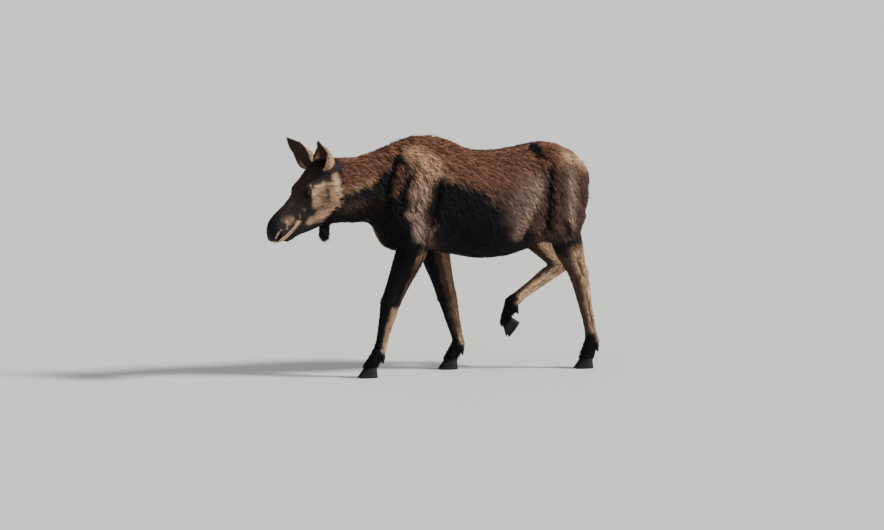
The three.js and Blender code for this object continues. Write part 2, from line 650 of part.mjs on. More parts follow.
for (const [limb, joints] of Object.entries(LIMBS)) {
  const isHind = limb.startsWith("hind");
  const form = limbForm(joints, isHind ? HIND_GIRTH : FORE_GIRTH, isHind ? hockMasses(joints) : []);
  const foot = frameAt(joints[3], 0, limb === "hind_right" ? LIFTED_FOOT_PITCH : 0);
  const { lengths, stopAt } = limbLine(joints);
  const kneeAlong = lengths[0];
  const fetlockAlong = lengths[0] + lengths[1];
  const [knee, fetlock] = [stopAt(kneeAlong), stopAt(fetlockAlong)];
  // Rings lie closer together towards the knee or hock.
  const stretch = (from, to) => range(9, (t) => stopAt(lerp(from, to, t ** 1.5))).slice(1, -1);
  const upperStops = [stopAt(0), ...stretch(kneeAlong, 0).reverse(), beside(knee, -1)];
  const lowerStops = [beside(knee, 1), ...stretch(kneeAlong, fetlockAlong), beside(fetlock, -1)];
  const pasternStops = range(5, (t) => ({
    middle: between(beside(fetlock, 1).middle, joints[3], t),
    axis: unit(between(fetlock.axis, times(foot.up, -1), t)),
  }));
  const upper = wrap(cutAt(form, knee, 1), upperStops, LIMB_SIDES);
  const cannon = wrap(cutAt(cutAt(form, knee, -1), fetlock, 1), lowerStops, LIMB_SIDES);
  const pasternForm = cutAt(form, fetlock, -1);
  place(`${limb}_${isHind ? "gaskin" : "forearm"}`, upper.subtract(trunkCutter), "brownCoat");
  place(`${limb}_cannon`, cannon, "darkCoat");
  place(`${limb}_pastern`, wrap(pasternForm, pasternStops, LIMB_SIDES), "darkCoat");
  const flesh = [cannon, wrap(swollen(pasternForm), pasternStops, LIMB_SIDES)];
  for (const side of [1, -1]) {
    const end = side === Math.sign(joints[0][1]) ? "outer" : "inner";
    place(`${limb}_claw_${end}`, claw(foot, side), "horn");
    place(`${limb}_dewclaw_${end}`, dewclaw(joints, side, flesh), "horn");
  }
}

group.rotation.z = Math.PI;
group.position.x = MIDDLE_FORWARD;

export default group;
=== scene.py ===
"""A young cow moose, life size, as a still museum model: one skin over all the flesh, a coat of solid
tufts that follow the lie of the hair, eyes in their lids, and hooves of horn.

Places are metres. Inside the script they are written from the animal: forward, left and up, from the
ground under the middle of the trunk. turned() takes them to the scene's axes and back.
"""

import math

import bmesh
import bpy
import numpy as np
from bpy.props import FloatProperty, FloatVectorProperty, IntProperty, PointerProperty
from mathutils import Matrix, Vector
from mathutils.bvhtree import BVHTree


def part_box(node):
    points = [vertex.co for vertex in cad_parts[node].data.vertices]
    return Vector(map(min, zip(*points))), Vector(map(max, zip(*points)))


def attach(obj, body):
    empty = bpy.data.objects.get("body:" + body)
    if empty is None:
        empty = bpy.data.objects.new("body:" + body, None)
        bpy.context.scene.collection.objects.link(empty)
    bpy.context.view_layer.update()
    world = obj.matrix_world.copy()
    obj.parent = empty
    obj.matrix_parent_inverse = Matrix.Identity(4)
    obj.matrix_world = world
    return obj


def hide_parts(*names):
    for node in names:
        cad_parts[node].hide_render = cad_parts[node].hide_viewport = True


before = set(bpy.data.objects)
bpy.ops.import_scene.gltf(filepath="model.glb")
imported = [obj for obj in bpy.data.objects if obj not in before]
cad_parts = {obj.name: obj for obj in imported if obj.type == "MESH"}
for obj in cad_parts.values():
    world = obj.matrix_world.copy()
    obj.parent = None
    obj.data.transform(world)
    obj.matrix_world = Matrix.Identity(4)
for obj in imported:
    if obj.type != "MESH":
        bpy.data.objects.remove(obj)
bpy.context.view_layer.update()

bl_info = {
    "name": "Moose",
    "version": (1, 0, 0),
    "blender": (4, 5, 0),
    "location": "3D View > Sidebar > Moose",
    "description": "Builds the skin, coat, eyes and hooves of a life-size young cow moose",
    "category": "Object",
}

# ------------------------------------------------------------------------------------- the animal's places

MIDDLE_FORWARD = 0.3807  # the scene's origin, forward of the middle of the trunk
POLL = np.array((1.100, 0.026, 1.436))
HEAD_TURN = math.radians(14)  # to the left
HEAD_DOWN = math.radians(44)
HEAD_FORWARD = np.array(
    (
        math.cos(HEAD_TURN) * math.cos(HEAD_DOWN),
        math.sin(HEAD_TURN) * math.cos(HEAD_DOWN),
        -math.sin(HEAD_DOWN),
    )
)
HEAD_LEFT = np.array((-math.sin(HEAD_TURN), math.cos(HEAD_TURN), 0.0))
HEAD_UP = np.cross(HEAD_FORWARD, HEAD_LEFT)
HEAD_AXES = np.stack((HEAD_FORWARD, HEAD_LEFT, HEAD_UP))

# Elbow or stifle, knee or hock, fetlock, and the middle of the hoof's upper edge.
LIMBS = {
    "fore_left": ((0.517, 0.158, 0.950), (0.706, 0.148, 0.503), (0.777, 0.136, 0.184), (0.845, 0.134, 0.072)),
    "fore_right": ((0.312, -0.158, 0.940), (0.186, -0.146, 0.496), (0.107, -0.136, 0.184), (0.166, -0.134, 0.072)),
    "hind_left": ((-0.528, 0.158, 0.946), (-0.682, 0.140, 0.604), (-0.777, 0.132, 0.200), (-0.731, 0.132, 0.072)),
    "hind_right": ((-0.374, -0.155, 0.980), (-0.630, -0.140, 0.689), (-0.280, -0.130, 0.448), (-0.246, -0.130, 0.318)),
}
EARS = {  # root and tip
    "ear_left": ((1.176, 0.117, 1.433), (1.224, 0.165, 1.628)),
    "ear_right": ((1.212, -0.027, 1.433), (1.334, -0.178, 1.630)),
}
EAR_OPENINGS = {"ear_left": np.array((0.976, 0.191, 0.106)), "ear_right": np.array((0.974, 0.203, 0.101))}
EYE = np.array((0.268, 0.084, 0.044))  # on the head: along, left, up
EYE_RADIUS = 0.019
NOSTRIL = np.array((0.620, 0.062, -0.008))
MOUTH = ((0.700, -0.028), (0.648, -0.040), (0.590, -0.056), (0.510, -0.064), (0.448, -0.062))  # along, up

FLESH = [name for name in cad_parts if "eye" not in name and "claw" not in name]
EYES = ("eye_left", "eye_right")


def turned(places):
    """Places of the animal as places of the scene, or the other way round."""
    return np.stack((MIDDLE_FORWARD - places[:, 0], -places[:, 1], places[:, 2]), 1)


def on_head(places):
    """Places of the animal as along the face from the poll, left, and up."""
    return (places - POLL) @ HEAD_AXES.T


def from_head(places):
    return np.asarray(places) @ HEAD_AXES + POLL


# ------------------------------------------------------------------------------------------ settings


def srgb(red, green, blue):
    """A colour as a painter's chart gives it, 0 to 255, in the linear light that Blender mixes."""
    return tuple(
        c / 12.92 if c <= 0.04045 else ((c + 0.055) / 1.055) ** 2.4
        for c in (red / 255, green / 255, blue / 255)
    )


def length(name, description, default):
    return FloatProperty(name=name, description=description, default=default, min=0.0, subtype="DISTANCE", unit="LENGTH")


def colour(name, description, *shade):
    return FloatVectorProperty(
        name=name, description=description, default=srgb(*shade), size=3, min=0.0, max=1.0, subtype="COLOR"
    )


class MooseSkin(bpy.types.PropertyGroup):
    """Sizes of the skin."""

    grid: length("Grid", "Edge length of the skin's first, even mesh", 0.005)
    triangles: IntProperty(name="Triangles", description="Most triangles in the finished skin", default=190000)
    lid_opening: length("Eye opening", "Half the length of the opening between the lids", 0.0155)


class MooseCoat(bpy.types.PropertyGroup):
    """Sizes of the coat."""

    body: length("Body hair", "Length of a tuft on the trunk", 0.042)
    mane: length("Mane", "Length of a tuft on the crest and the hump", 0.062)
    leg: length("Leg hair", "Length of a tuft on the legs", 0.020)
    face: length("Face hair", "Length of a tuft on the face", 0.014)
    ear: length("Ear hair", "Length of a tuft on the ears", 0.015)
    share: FloatProperty(
        name="Tufts", description="Share of the full number of tufts", default=1.0, min=0.05, max=1.0, subtype="FACTOR"
    )


class MooseColours(bpy.types.PropertyGroup):
    """Colours of the coat, horn and eyes."""

    # Besides the coat's own colours, black and dark also paint shade in hollows and grooves, grey paints sheen on
    # raised forms, and tan and cream paint part of the highlights on the shoulder blade, rump and back of the cheek.
    black: colour("Black", "Chest, belly and the fronts of the legs", 9, 8, 9)
    dark: colour("Dark brown", "Under the longer hair, the forehead and the nose", 33, 25, 23)
    brown: colour("Red brown", "The back, hump and top of the neck", 112, 76, 58)
    umber: colour("Umber", "The sides of the trunk", 84, 62, 53)
    tan: colour("Tan", "The shoulder blade and the upper arm", 178, 140, 110)
    cream: colour("Cream", "The insides and backs of the legs, and the ears", 214, 178, 140)
    # On the flank's fold and the thigh, grey is painted sheen.
    grey: colour("Grey", "The flank's fold, the thigh and the cheeks", 160, 132, 116)
    horn: colour("Horn", "Hooves and dewclaws", 17, 15, 14)
    iris: colour("Iris", "The eye", 30, 17, 10)


class MooseStage(bpy.types.PropertyGroup):
    """The floor and its light."""

    floor: length("Floor", "Half the width of the floor", 160.0)
    floor_colour: colour("Floor colour", "The plain floor", 214, 212, 208)
    key: FloatProperty(name="Key light", description="Strength of the main light", default=5.2, min=0.0)
    fill: FloatProperty(name="Fill light", description="Strength of the light from the other side", default=0.28, min=0.0)
    sky: FloatProperty(name="Room light", description="Strength of the light from all round", default=0.46, min=0.0)


# ------------------------------------------------------------------------------------- tools for arrays


def smoothstep(low, high, x):
    t = np.clip((x - low) / (high - low), 0.0, 1.0)
    return t * t * (3 - 2 * t)


def mix(a, b, weight):
    return a + (b - a) * weight


def unit(vectors):
    return vectors / np.maximum(np.linalg.norm(vectors, axis=-1, keepdims=True), 1e-12)


def noise(places, size, seed=0):
    """Smooth noise from -1 to 1, in lumps of about the given size."""
    scaled = places / size + 512.0
    cell = np.floor(scaled).astype(np.int64)
    part = scaled - cell
    part = part * part * (3 - 2 * part)
    total = np.zeros(len(places))
    for corner in np.ndindex(2, 2, 2):
        at = cell + corner
        mixed = (at[:, 0] * 73856093) ^ (at[:, 1] * 19349663) ^ (at[:, 2] * 83492791) ^ (seed * 40503)
        mixed = (mixed ^ (mixed >> 13)) * 1274126177
        value = ((mixed ^ (mixed >> 16)) & 0xFFFF) / 32767.5 - 1
        total += value * np.prod(np.where(corner, part, 1 - part), axis=1)
    return total


def path_distance(points, path):
    """How far each point is from the line through a path's points."""
    path = np.atleast_2d(np.asarray(path, float))
    best = np.linalg.norm(points - path[0], axis=1)
    for start, end in zip(path[:-1], path[1:]):
        span = end - start
        share = np.clip((points - start) @ span / (span @ span), 0, 1)
        best = np.minimum(best, np.linalg.norm(points - start - share[:, None] * span, axis=1))
    return best


def neighbour_mean(values, edges):
    """The mean of each vertex's neighbours."""
    ends = np.concatenate((edges[:, 0], edges[:, 1]))
    others = np.concatenate((edges[:, 1], edges[:, 0]))
    count = np.bincount(ends, minlength=len(values))
    total = np.stack([np.bincount(ends, column[others], len(values)) for column in values.T], 1)
    return total / np.maximum(count, 1)[:, None]


def relaxed(values, edges, steps, freedom=0.5):
    """Values smoothed over a mesh. Freedom is how far each step goes, a number or one for each vertex."""
    freedom = np.broadcast_to(freedom, len(values))[:, None]
    for _ in range(steps):
        values = values + freedom * (neighbour_mean(values, edges) - values)
    return values


def arrays_of(mesh):
    """The places, triangles and edges of a mesh."""
    mesh.calc_loop_triangles()
    places = np.empty(len(mesh.vertices) * 3, np.float32)
    corners = np.empty(len(mesh.loop_triangles) * 3, np.int32)
    edges = np.empty(len(mesh.edges) * 2, np.int32)
    mesh.vertices.foreach_get("co", places)
    mesh.loop_triangles.foreach_get("vertices", corners)
    mesh.edges.foreach_get("vertices", edges)
    return places.reshape(-1, 3).astype(float), corners.reshape(-1, 3), edges.reshape(-1, 2)


def normals_of(places, corners):
    a, b, c = (places[corners[:, k]] for k in range(3))
    facing = np.cross(b - a, c - a)
    total = np.stack(
        [sum(np.bincount(corners[:, k], facing[:, axis], len(places)) for k in range(3)) for axis in range(3)], 1
    )
    return unit(total)


def set_places(mesh, places):
    mesh.vertices.foreach_set("co", places.astype(np.float32).ravel())
    mesh.update()


def keep(mesh, name, values):
    """Keeps values on a mesh's vertices, as numbers, vectors or colours."""
    kind, field = {1: ("FLOAT", "value"), 3: ("FLOAT_VECTOR", "vector"), 4: ("FLOAT_COLOR", "color")}[
        1 if values.ndim == 1 else values.shape[1]
    ]
    attribute = mesh.attributes.new(name, kind, "POINT")
    attribute.data.foreach_set(field, values.astype(np.float32).ravel())


def kept(mesh, name, width):
    field = {1: "value", 3: "vector", 4: "color"}[width]
    values = np.empty(len(mesh.vertices) * width, np.float32)
    mesh.attributes[name].data.foreach_get(field, values)
    return values.astype(float) if width == 1 else values.reshape(-1, width).astype(float)


def new_object(name, mesh):
    made = bpy.data.objects.new(name, mesh)
    bpy.context.scene.collection.objects.link(made)
    return made


def applied(made):
    """Replaces an object's mesh by what its modifiers make of it."""
    graph = bpy.context.evaluated_depsgraph_get()
    before = made.data
    made.data = bpy.data.meshes.new_from_object(made.evaluated_get(graph), depsgraph=graph)
    made.modifiers.clear()
    bpy.data.meshes.remove(before)
    return made


# ---------------------------------------------------------------------------------- parts of the body


class Anatomy:
    """Which part of the body each place of the skin belongs to, and where it is on that part."""

    def __init__(self, places):
        tree, owner = self.flesh_tree()
        scene_places = turned(places)
        near = [tree.find_nearest(Vector(p))[2] for p in scene_places]
        self.node = owner[np.array(near)]
        self.places = places
        self.on_head = on_head(places)

    @staticmethod
    def flesh_tree():
        points, triangles, owner = [], [], []
        for index, name in enumerate(FLESH):
            places, corners, _ = arrays_of(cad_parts[name].data)
            triangles.extend((corners + len(points)).tolist())
            points.extend(places.tolist())
            owner.extend([index] * len(corners))
        return BVHTree.FromPolygons(points, triangles), np.array(owner)

    def part(self, *words):
        """Where the node's name holds any of the words."""
        wanted = [i for i, name in enumerate(FLESH) if any(word in name for word in words)]
        return np.isin(self.node, wanted)

    def value(self, table):
        """One value for each place from a table of words and values; the first word that fits counts."""
        first = next(iter(table.values()))
        found = np.zeros((len(self.node),) + np.shape(first))
        for index, name in enumerate(FLESH):
            fitting = [value for word, value in table.items() if word in name]
            found[self.node == index] = fitting[0]
        return found


def limb_places(places, joints):
    """How far down a limb each place is, in joints, how far in front of its middle line, and how far left."""
    best = np.full(len(places), np.inf)
    along, front, left = (np.zeros(len(places)) for _ in range(3))
    for index, (start, end) in enumerate(zip(joints[:-1], joints[1:])):
        start, end = np.array(start), np.array(end)
        span = end - start
        down = span / np.linalg.norm(span)
        ahead = unit(np.cross(down, (0.0, 1.0, 0.0)))
        away = places - start
        share = np.clip(away @ span / (span @ span), 0, 1)
        gap = np.linalg.norm(away - share[:, None] * span, axis=1)
        nearer = gap < best
        best = np.where(nearer, gap, best)
        along = np.where(nearer, index + share, along)
        front = np.where(nearer, away @ ahead, front)
        left = np.where(nearer, away[:, 1] - share * span[1], left)
    return along, front, left


FORE_SHIFT = {"rise": (0.95, 1.50), "by": 0.205}  # the right elbow is this far behind the left one
HIND_SHIFT = {"rise": (0.96, 1.42), "by": -0.154}


def side_view(places):
    """Forward and up, with the right shoulder and haunch moved to where the left ones are."""
    forward, left, up = places.T
    right = smoothstep(0.03, -0.03, left)
    fore = FORE_SHIFT["by"] * (1 - smoothstep(*FORE_SHIFT["rise"], up)) * smoothstep(0.0, 0.25, forward)
    hind = HIND_SHIFT["by"] * (1 - smoothstep(*HIND_SHIFT["rise"], up)) * smoothstep(-0.12, -0.30, forward)
    return np.stack((forward + right * (fore + hind), up), 1)


# ---------------------------------------------------------------------------------------------- skin

SMOOTHING = {  # how freely each part is smoothed
    "ear": 0.03, "head": 0.10, "jaw": 0.10, "neck": 0.5, "trunk": 0.5, "tail": 0.04, "bell": 0.12,
    "pastern": 0.10, "cannon": 0.11, "forearm": 0.16, "gaskin": 0.16,
}
SMOOTHING_STEPS = 60
COAT_DEPTH = {  # how far the skin lies inside the outline of the coat
    "ear": 0.0022, "head": 0.0040, "jaw": 0.0050, "neck": 0.0110, "trunk": 0.0100, "tail": 0.0040, "bell": 0.0050,
    "pastern": 0.0035, "cannon": 0.0038, "forearm": 0.0065, "gaskin": 0.0065,
}
EAR_SWELL = 0.0012  # keeps the ears' thin edges whole in the even mesh

# Forms in relief, seen from the side: a path of forward and up, its half width, and its height.
BODY_RELIEF = (
    (((0.455, 1.50), (0.520, 1.36), (0.600, 1.21)), 0.030, 0.0070),  # ridge of the shoulder blade
    (((0.520, 1.42), (0.590, 1.31), (0.645, 1.21)), 0.024, -0.0150),  # hollow before that ridge
    (((0.350, 1.40), (0.385, 1.22), (0.430, 1.03)), 0.030, -0.0200),  # behind the upper arm's muscle
    (((0.470, 1.28), (0.500, 1.12)), 0.040, 0.0060),  # upper arm's muscle
    (((0.536, 1.200), (0.560, 1.125)), 0.020, -0.0090),  # hollow in the upper arm
    (((0.655, 1.46), (0.735, 1.30), (0.760, 1.16)), 0.034, -0.0200),  # before the shoulder
    (((0.650, 1.165),), 0.036, 0.0070),  # point of the shoulder
    (((0.450, 0.975),), 0.028, 0.0070),  # point of the elbow
    (((0.590, 1.06), (0.600, 0.97)), 0.022, -0.0110),  # between breast and upper arm
    (((-0.440, 1.36), (-0.430, 1.17), (-0.430, 0.99)), 0.034, -0.0220),  # before the thigh
    (((-0.337, 1.29), (-0.285, 1.15), (-0.215, 0.97)), 0.034, 0.0070),  # fold of the flank
    (((-0.320, 1.06), (-0.260, 0.95)), 0.036, -0.0140),  # under the fold
    (((-0.440, 1.480),), 0.036, 0.0070),  # point of the hip
    (((-0.375, 1.500),), 0.026, -0.0100),  # dimple before the hip
    (((-0.700, 1.365),), 0.030, 0.0060),  # seat bone
    (((-0.655, 1.38), (-0.672, 1.14)), 0.020, -0.0110),  # between the thigh's muscles
    (((-0.585, 1.26), (-0.580, 1.05)), 0.045, 0.0060),  # middle of the thigh
    (((-0.550, 1.010), (-0.570, 0.930)), 0.024, -0.0120),  # behind the kneecap
    (((-0.490, 0.985),), 0.026, 0.0060),  # kneecap
    (((0.10, 1.44), (-0.15, 1.43), (-0.34, 1.45)), 0.030, -0.0060),  # beside the back's muscle
    (((0.80, 1.27), (0.95, 1.21), (1.06, 1.20)), 0.026, -0.0080),  # along the windpipe
)
RIBS = {"from": -0.16, "to": 0.30, "apart": 0.052, "slant": 0.28, "rise": 0.0009, "up": (0.93, 1.34)}
# On the head, mirrored: a path of along, left and up, its half width, and its height.
FACE_RELIEF = (
    (((0.222, 0.070, 0.072), (0.262, 0.084, 0.078), (0.305, 0.078, 0.066)), 0.011, 0.0055),  # brow
    (((0.300, 0.082, 0.026), (0.335, 0.066, 0.012), (0.365, 0.060, 0.000)), 0.010, -0.0050),  # tear groove
    (((0.225, 0.098, 0.010), (0.290, 0.092, 0.000), (0.370, 0.074, -0.018)), 0.014, 0.0045),  # cheekbone
    (((0.240, 0.094, -0.042), (0.330, 0.080, -0.050), (0.430, 0.068, -0.060)), 0.018, -0.0050),  # under it
    (((0.100, 0.082, -0.190), (0.230, 0.082, -0.218), (0.350, 0.072, -0.192)), 0.018, 0.0040),  # jaw's edge
    (((0.150, 0.076, 0.066), (0.195, 0.074, 0.066)), 0.018, -0.0045),  # temple
    (((0.350, 0.046, 0.052), (0.440, 0.048, 0.044), (0.520, 0.052, 0.046)), 0.017, -0.0045),  # beside the nose
    (((0.470, 0.058, 0.010), (0.545, 0.062, 0.012)), 0.020, 0.0030),  # muzzle's side
    (((0.560, 0.062, -0.034), (0.610, 0.056, -0.036), (0.650, 0.040, -0.030)), 0.009, 0.0035),  # upper lip
    (((0.105, 0.090, -0.060), (0.180, 0.094, -0.070)), 0.030, 0.0035),  # cheek muscle
)
NOSTRIL_SLIT = ((0.598, 0.060, -0.002), (0.624, 0.058, -0.016), (0.648, 0.050, -0.022))
NOSTRIL_EDGE = ((0.586, 0.060, 0.010), (0.616, 0.062, 0.010), (0.650, 0.052, -0.004))  # its pale upper rim
NOSTRIL_RIM = {"away": 0.0125, "width": 0.0055, "rise": 0.0045}
NOSTRIL_DEPTH = 0.013
MOUTH_GROOVE = {"width": 0.0034, "depth": 0.0055, "lip": 0.0024, "lip_away": 0.0105, "lip_width": 0.0070}


CLEFT = {"wide": 0.026, "depth": 0.022, "top": 1.26, "forward": -0.66}  # between the thighs, behind


def cleft_share(places):
    behind = smoothstep(CLEFT["forward"] + 0.06, CLEFT["forward"], places[:, 0])
    low = smoothstep(CLEFT["top"], CLEFT["top"] - 0.10, places[:, 2])
    return behind * low * np.exp(-((places[:, 1] / CLEFT["wide"]) ** 2))


def relief(gap, width, height):
    return height * np.exp(-((gap / width) ** 2))


def joined_flesh(swell):
    """All the flesh nodes and the eyes as one loose mesh, with the ears a little thicker."""
    whole = bmesh.new()
    for name in (*FLESH, *EYES):
        if name.startswith("ear"):
            ear = bmesh.new()
            ear.from_mesh(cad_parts[name].data)
            bmesh.ops.remove_doubles(ear, verts=ear.verts, dist=1e-5)
            bmesh.ops.recalc_face_normals(ear, faces=ear.faces)
            ear.normal_update()
            for vertex, normal in [(v, v.normal.copy()) for v in ear.verts]:
                vertex.co += normal * swell
            thicker = bpy.data.meshes.new("ear")
            ear.to_mesh(thicker)
            ear.free()
            whole.from_mesh(thicker)
            bpy.data.meshes.remove(thicker)
        else:
            whole.from_mesh(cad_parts[name].data)
    mesh = bpy.data.meshes.new("skin")
    whole.to_mesh(mesh)
    whole.free()
    return mesh


def keep_largest(mesh):
    """Removes every loose piece but the largest."""
    body = bmesh.new()
    body.from_mesh(mesh)
    body.verts.ensure_lookup_table()
    piece = [-1] * len(body.verts)
    sizes = []
    for seed in body.verts:
        if piece[seed.index] >= 0:
            continue
        label, size, queue = len(sizes), 0, [seed]
        piece[seed.index] = label
        while queue:
            vertex = queue.pop()
            size += 1
            for edge in vertex.link_edges:
                other = edge.other_vert(vertex)
                if piece[other.index] < 0:
                    piece[other.index] = label
                    queue.append(other)
        sizes.append(size)
    if len(sizes) > 1:
        largest = sizes.index(max(sizes))
        bmesh.ops.delete(body, geom=[v for v in body.verts if piece[v.index] != largest], context="VERTS")
        body.to_mesh(mesh)
    body.free()


def refine_face(mesh):
    """Splits the edges round the eyes, nostrils and mouth, so that they can hold lids and lips."""
    for reach_eye, reach_nose, reach_mouth in ((0.050, 0.050, 0.016), (0.030, 0.030, 0.007)):
        body = bmesh.new()
        body.from_mesh(mesh)
        places = on_head(turned(np.array([v.co[:] for v in body.verts])))
        sides = np.abs(places[:, 1])
        mirrored = np.stack((places[:, 0], sides, places[:, 2]), 1)
        chosen = np.linalg.norm(mirrored - EYE, axis=1) < reach_eye
        chosen |= np.linalg.norm(mirrored - NOSTRIL, axis=1) < reach_nose
        chosen |= path_distance(places[:, (0, 2)], MOUTH) < reach_mouth
        body.verts.ensure_lookup_table()
        edges = [e for e in body.edges if chosen[e.verts[0].index] and chosen[e.verts[1].index]]
        bmesh.ops.subdivide_edges(body, edges=edges, cuts=1, use_grid_fill=True)
        body.to_mesh(mesh)
        body.free()


def body_relief(places, normals):
    """How far each place of the trunk, neck and limbs is raised."""
    view = side_view(places)
    facing = smoothstep(0.25, 0.6, np.abs(normals[:, 1]))
    total = sum(relief(path_distance(view, path), width, height) for path, width, height in BODY_RELIEF) * facing
    wave = np.cos(2 * np.pi * (view[:, 0] - RIBS["slant"] * (view[:, 1] - 1.2)) / RIBS["apart"])
    ribbed = smoothstep(RIBS["from"] - 0.06, RIBS["from"], view[:, 0]) * smoothstep(
        RIBS["to"] + 0.04, RIBS["to"], view[:, 0]
    )
    ribbed *= smoothstep(RIBS["up"][0], RIBS["up"][0] + 0.08, view[:, 1])
    ribbed *= smoothstep(RIBS["up"][1], RIBS["up"][1] - 0.08, view[:, 1])
    total += RIBS["rise"] * wave * ribbed * facing
    total -= CLEFT["depth"] * cleft_share(places)
    return total + 0.0016 * noise(places, 0.07, 3) + 0.0008 * noise(places, 0.03, 4)


def limb_relief(places):
    """Knee, tendons and fetlock, raised on one limb or another."""
    total = np.zeros(len(places))
    for name, joints in LIMBS.items():
        along, front, left = limb_places(places, joints)
        near = smoothstep(0.13, 0.09, np.hypot(front, left))
        cannon = smoothstep(1.12, 1.3, along) * smoothstep(1.98, 1.8, along)
        total -= 0.0085 * near * cannon * np.exp(-(((front + 0.014) / 0.007) ** 2))
        gaskin = smoothstep(0.45, 0.6, along) * smoothstep(1.0, 0.9, along)
        if name.startswith("hind"):
            total -= 0.0130 * near * gaskin * np.exp(-(((front + 0.030) / 0.013) ** 2))
        else:
            total -= 0.0035 * near * gaskin * np.exp(-(((front + 0.012) / 0.013) ** 2))
            knee = np.exp(-(((along - 1.0) / 0.045) ** 2))
            total += 0.0035 * near * knee * smoothstep(-0.01, 0.03, front)
        total -= 0.0035 * near * smoothstep(2.05, 2.2, along) * np.exp(-((left / 0.007) ** 2))
    return total


def face_relief(head):
    """How far each place of the face is raised; head is along, left and up."""
    mirrored = np.stack((head[:, 0], np.abs(head[:, 1]), head[:, 2]), 1)
    total = sum(relief(path_distance(mirrored, path), width, height) for path, width, height in FACE_RELIEF)
    slit = path_distance(mirrored, NOSTRIL_SLIT)
    near = smoothstep(0.030, 0.020, slit)
    total += near * relief(slit - NOSTRIL_RIM["away"], NOSTRIL_RIM["width"], NOSTRIL_RIM["rise"])
    total -= NOSTRIL_DEPTH * smoothstep(NOSTRIL_RIM["away"], 0.35 * NOSTRIL_RIM["away"], slit)
    line = path_distance(head[:, (0, 2)], MOUTH)
    ends = smoothstep(0.430, 0.465, head[:, 0])
    lips = relief(line - MOUTH_GROOVE["lip_away"], MOUTH_GROOVE["lip_width"], MOUTH_GROOVE["lip"])
    return total + ends * (lips - relief(line, MOUTH_GROOVE["width"], MOUTH_GROOVE["depth"]))


LID = {"high": 0.56, "rim": 0.0026, "under": 0.0035, "reach": 2.6}


def eye_openings(head, normals, opening):
    """Moves the skin round each eye onto the ball as lids, and into the head where the ball shows."""
    moved = head.copy()
    for side in (1, -1):
        away = head - EYE * (1, side, 1)
        gap = np.linalg.norm(away, axis=1)
        tilt = 0.18  # the inner corner is lower than the outer one
        along = away[:, 0] * math.cos(tilt) - away[:, 2] * math.sin(tilt)
        up = away[:, 0] * math.sin(tilt) + away[:, 2] * math.cos(tilt)
        almond = np.hypot(along / opening, up / (LID["high"] * opening) / np.sqrt(np.clip(1 - 0.35 * (along / opening) ** 2, 0.3, 1)))
        outside = away[:, 1] * side > -0.2 * EYE_RADIUS
        inner = outside & (gap < 2.2 * EYE_RADIUS)
        rim = EYE_RADIUS + LID["rim"] * np.exp(-(((almond - 1.22) / 0.30) ** 2)) + 0.0008
        lid = mix(EYE_RADIUS - LID["under"], rim, smoothstep(0.90, 1.06, almond))
        weight = smoothstep(LID["reach"], 1.35, almond) * inner
        target = mix(gap, lid, weight)
        moved += np.where(inner, target / np.maximum(gap, 1e-6) - 1, 0)[:, None] * away
    return moved


def eye_shares(head, opening):
    """For each place: how far out of the eyes' almonds it is, where 1 is the lids' edge."""
    mirrored = np.stack((head[:, 0], np.abs(head[:, 1]), head[:, 2]), 1)
    away = mirrored - EYE
    flat = np.hypot(away[:, 0] / opening, away[:, 2] / (LID["high"] * opening))
    return np.where(np.linalg.norm(away, axis=1) < 3 * EYE_RADIUS, flat, 9.0)


def make_skin(sizes):
    """One closed skin in place of every flesh node, inside them by the depth of the coat."""
    skin = new_object("skin", joined_flesh(EAR_SWELL))
    even = skin.modifiers.new("even", "REMESH")
    even.mode = "VOXEL"
    even.voxel_size = sizes.grid
    applied(skin)
    keep_largest(skin.data)
    places, corners, edges = arrays_of(skin.data)
    anatomy = Anatomy(turned(places))
    freedom = relaxed(anatomy.value(SMOOTHING)[:, None], edges, 12)[:, 0]
    places = relaxed(places, edges, SMOOTHING_STEPS, freedom)
    set_places(skin.data, places)
    refine_face(skin.data)
    places, corners, edges = arrays_of(skin.data)
    places = turned(places)
    anatomy = Anatomy(places)
    depth = relaxed(anatomy.value(COAT_DEPTH)[:, None], edges, 15)[:, 0]
    normals = normals_of(places, corners)
    depth = depth + 0.010 * mane_share(places, normals, anatomy)
    is_head = anatomy.part("head", "jaw", "ear").astype(float)
    is_head = relaxed(is_head[:, None], edges, 6)[:, 0]
    is_limb = relaxed(anatomy.part("cannon", "pastern", "forearm", "gaskin").astype(float)[:, None], edges, 10)[:, 0]
    raised = (1 - is_head) * body_relief(places, normals)
    raised += is_limb * limb_relief(places)
    raised += anatomy.part("head", "jaw") * face_relief(anatomy.on_head)
    places = places + (raised - depth)[:, None] * normals
    head = eye_openings(on_head(places), normals, sizes.lid_opening)
    places = np.where((is_head > 0.5)[:, None], from_head(head), places)
    set_places(skin.data, turned(places))
    thin(skin, anatomy, sizes.triangles)
    return skin


def thin(skin, anatomy, most):
    """Takes triangles from the trunk and neck first, then the limbs, and least from the head."""
    group = skin.vertex_groups.new(name="spare")
    freely = anatomy.value({"ear": 0.2, "head": 0.0, "jaw": 0.3, "neck": 1.0, "trunk": 1.0, "tail": 0.8, "bell": 0.8,
                            "pastern": 0.6, "cannon": 0.7, "forearm": 0.9, "gaskin": 0.9})
    for value in np.unique(freely):
        group.add(np.nonzero(freely == value)[0].tolist(), float(value), "REPLACE")
    skin.data.calc_loop_triangles()
    fewer = skin.modifiers.new("fewer", "DECIMATE")
    fewer.ratio = min(1.0, most / len(skin.data.loop_triangles))
    fewer.vertex_group = group.name
    fewer.vertex_group_factor = 0.01
    fewer.use_collapse_triangulate = True
    applied(skin)
    skin.vertex_groups.clear()


# ------------------------------------------------------------------------------------ lie of the coat


def mane_share(places, normals, anatomy):
    """1 on the crest of the neck and the hump, 0 elsewhere."""
    forward = places[:, 0]
    along = smoothstep(0.16, 0.34, forward) * smoothstep(1.16, 1.02, forward)
    return along * smoothstep(0.35, 0.85, normals[:, 2]) * anatomy.part("trunk", "neck")


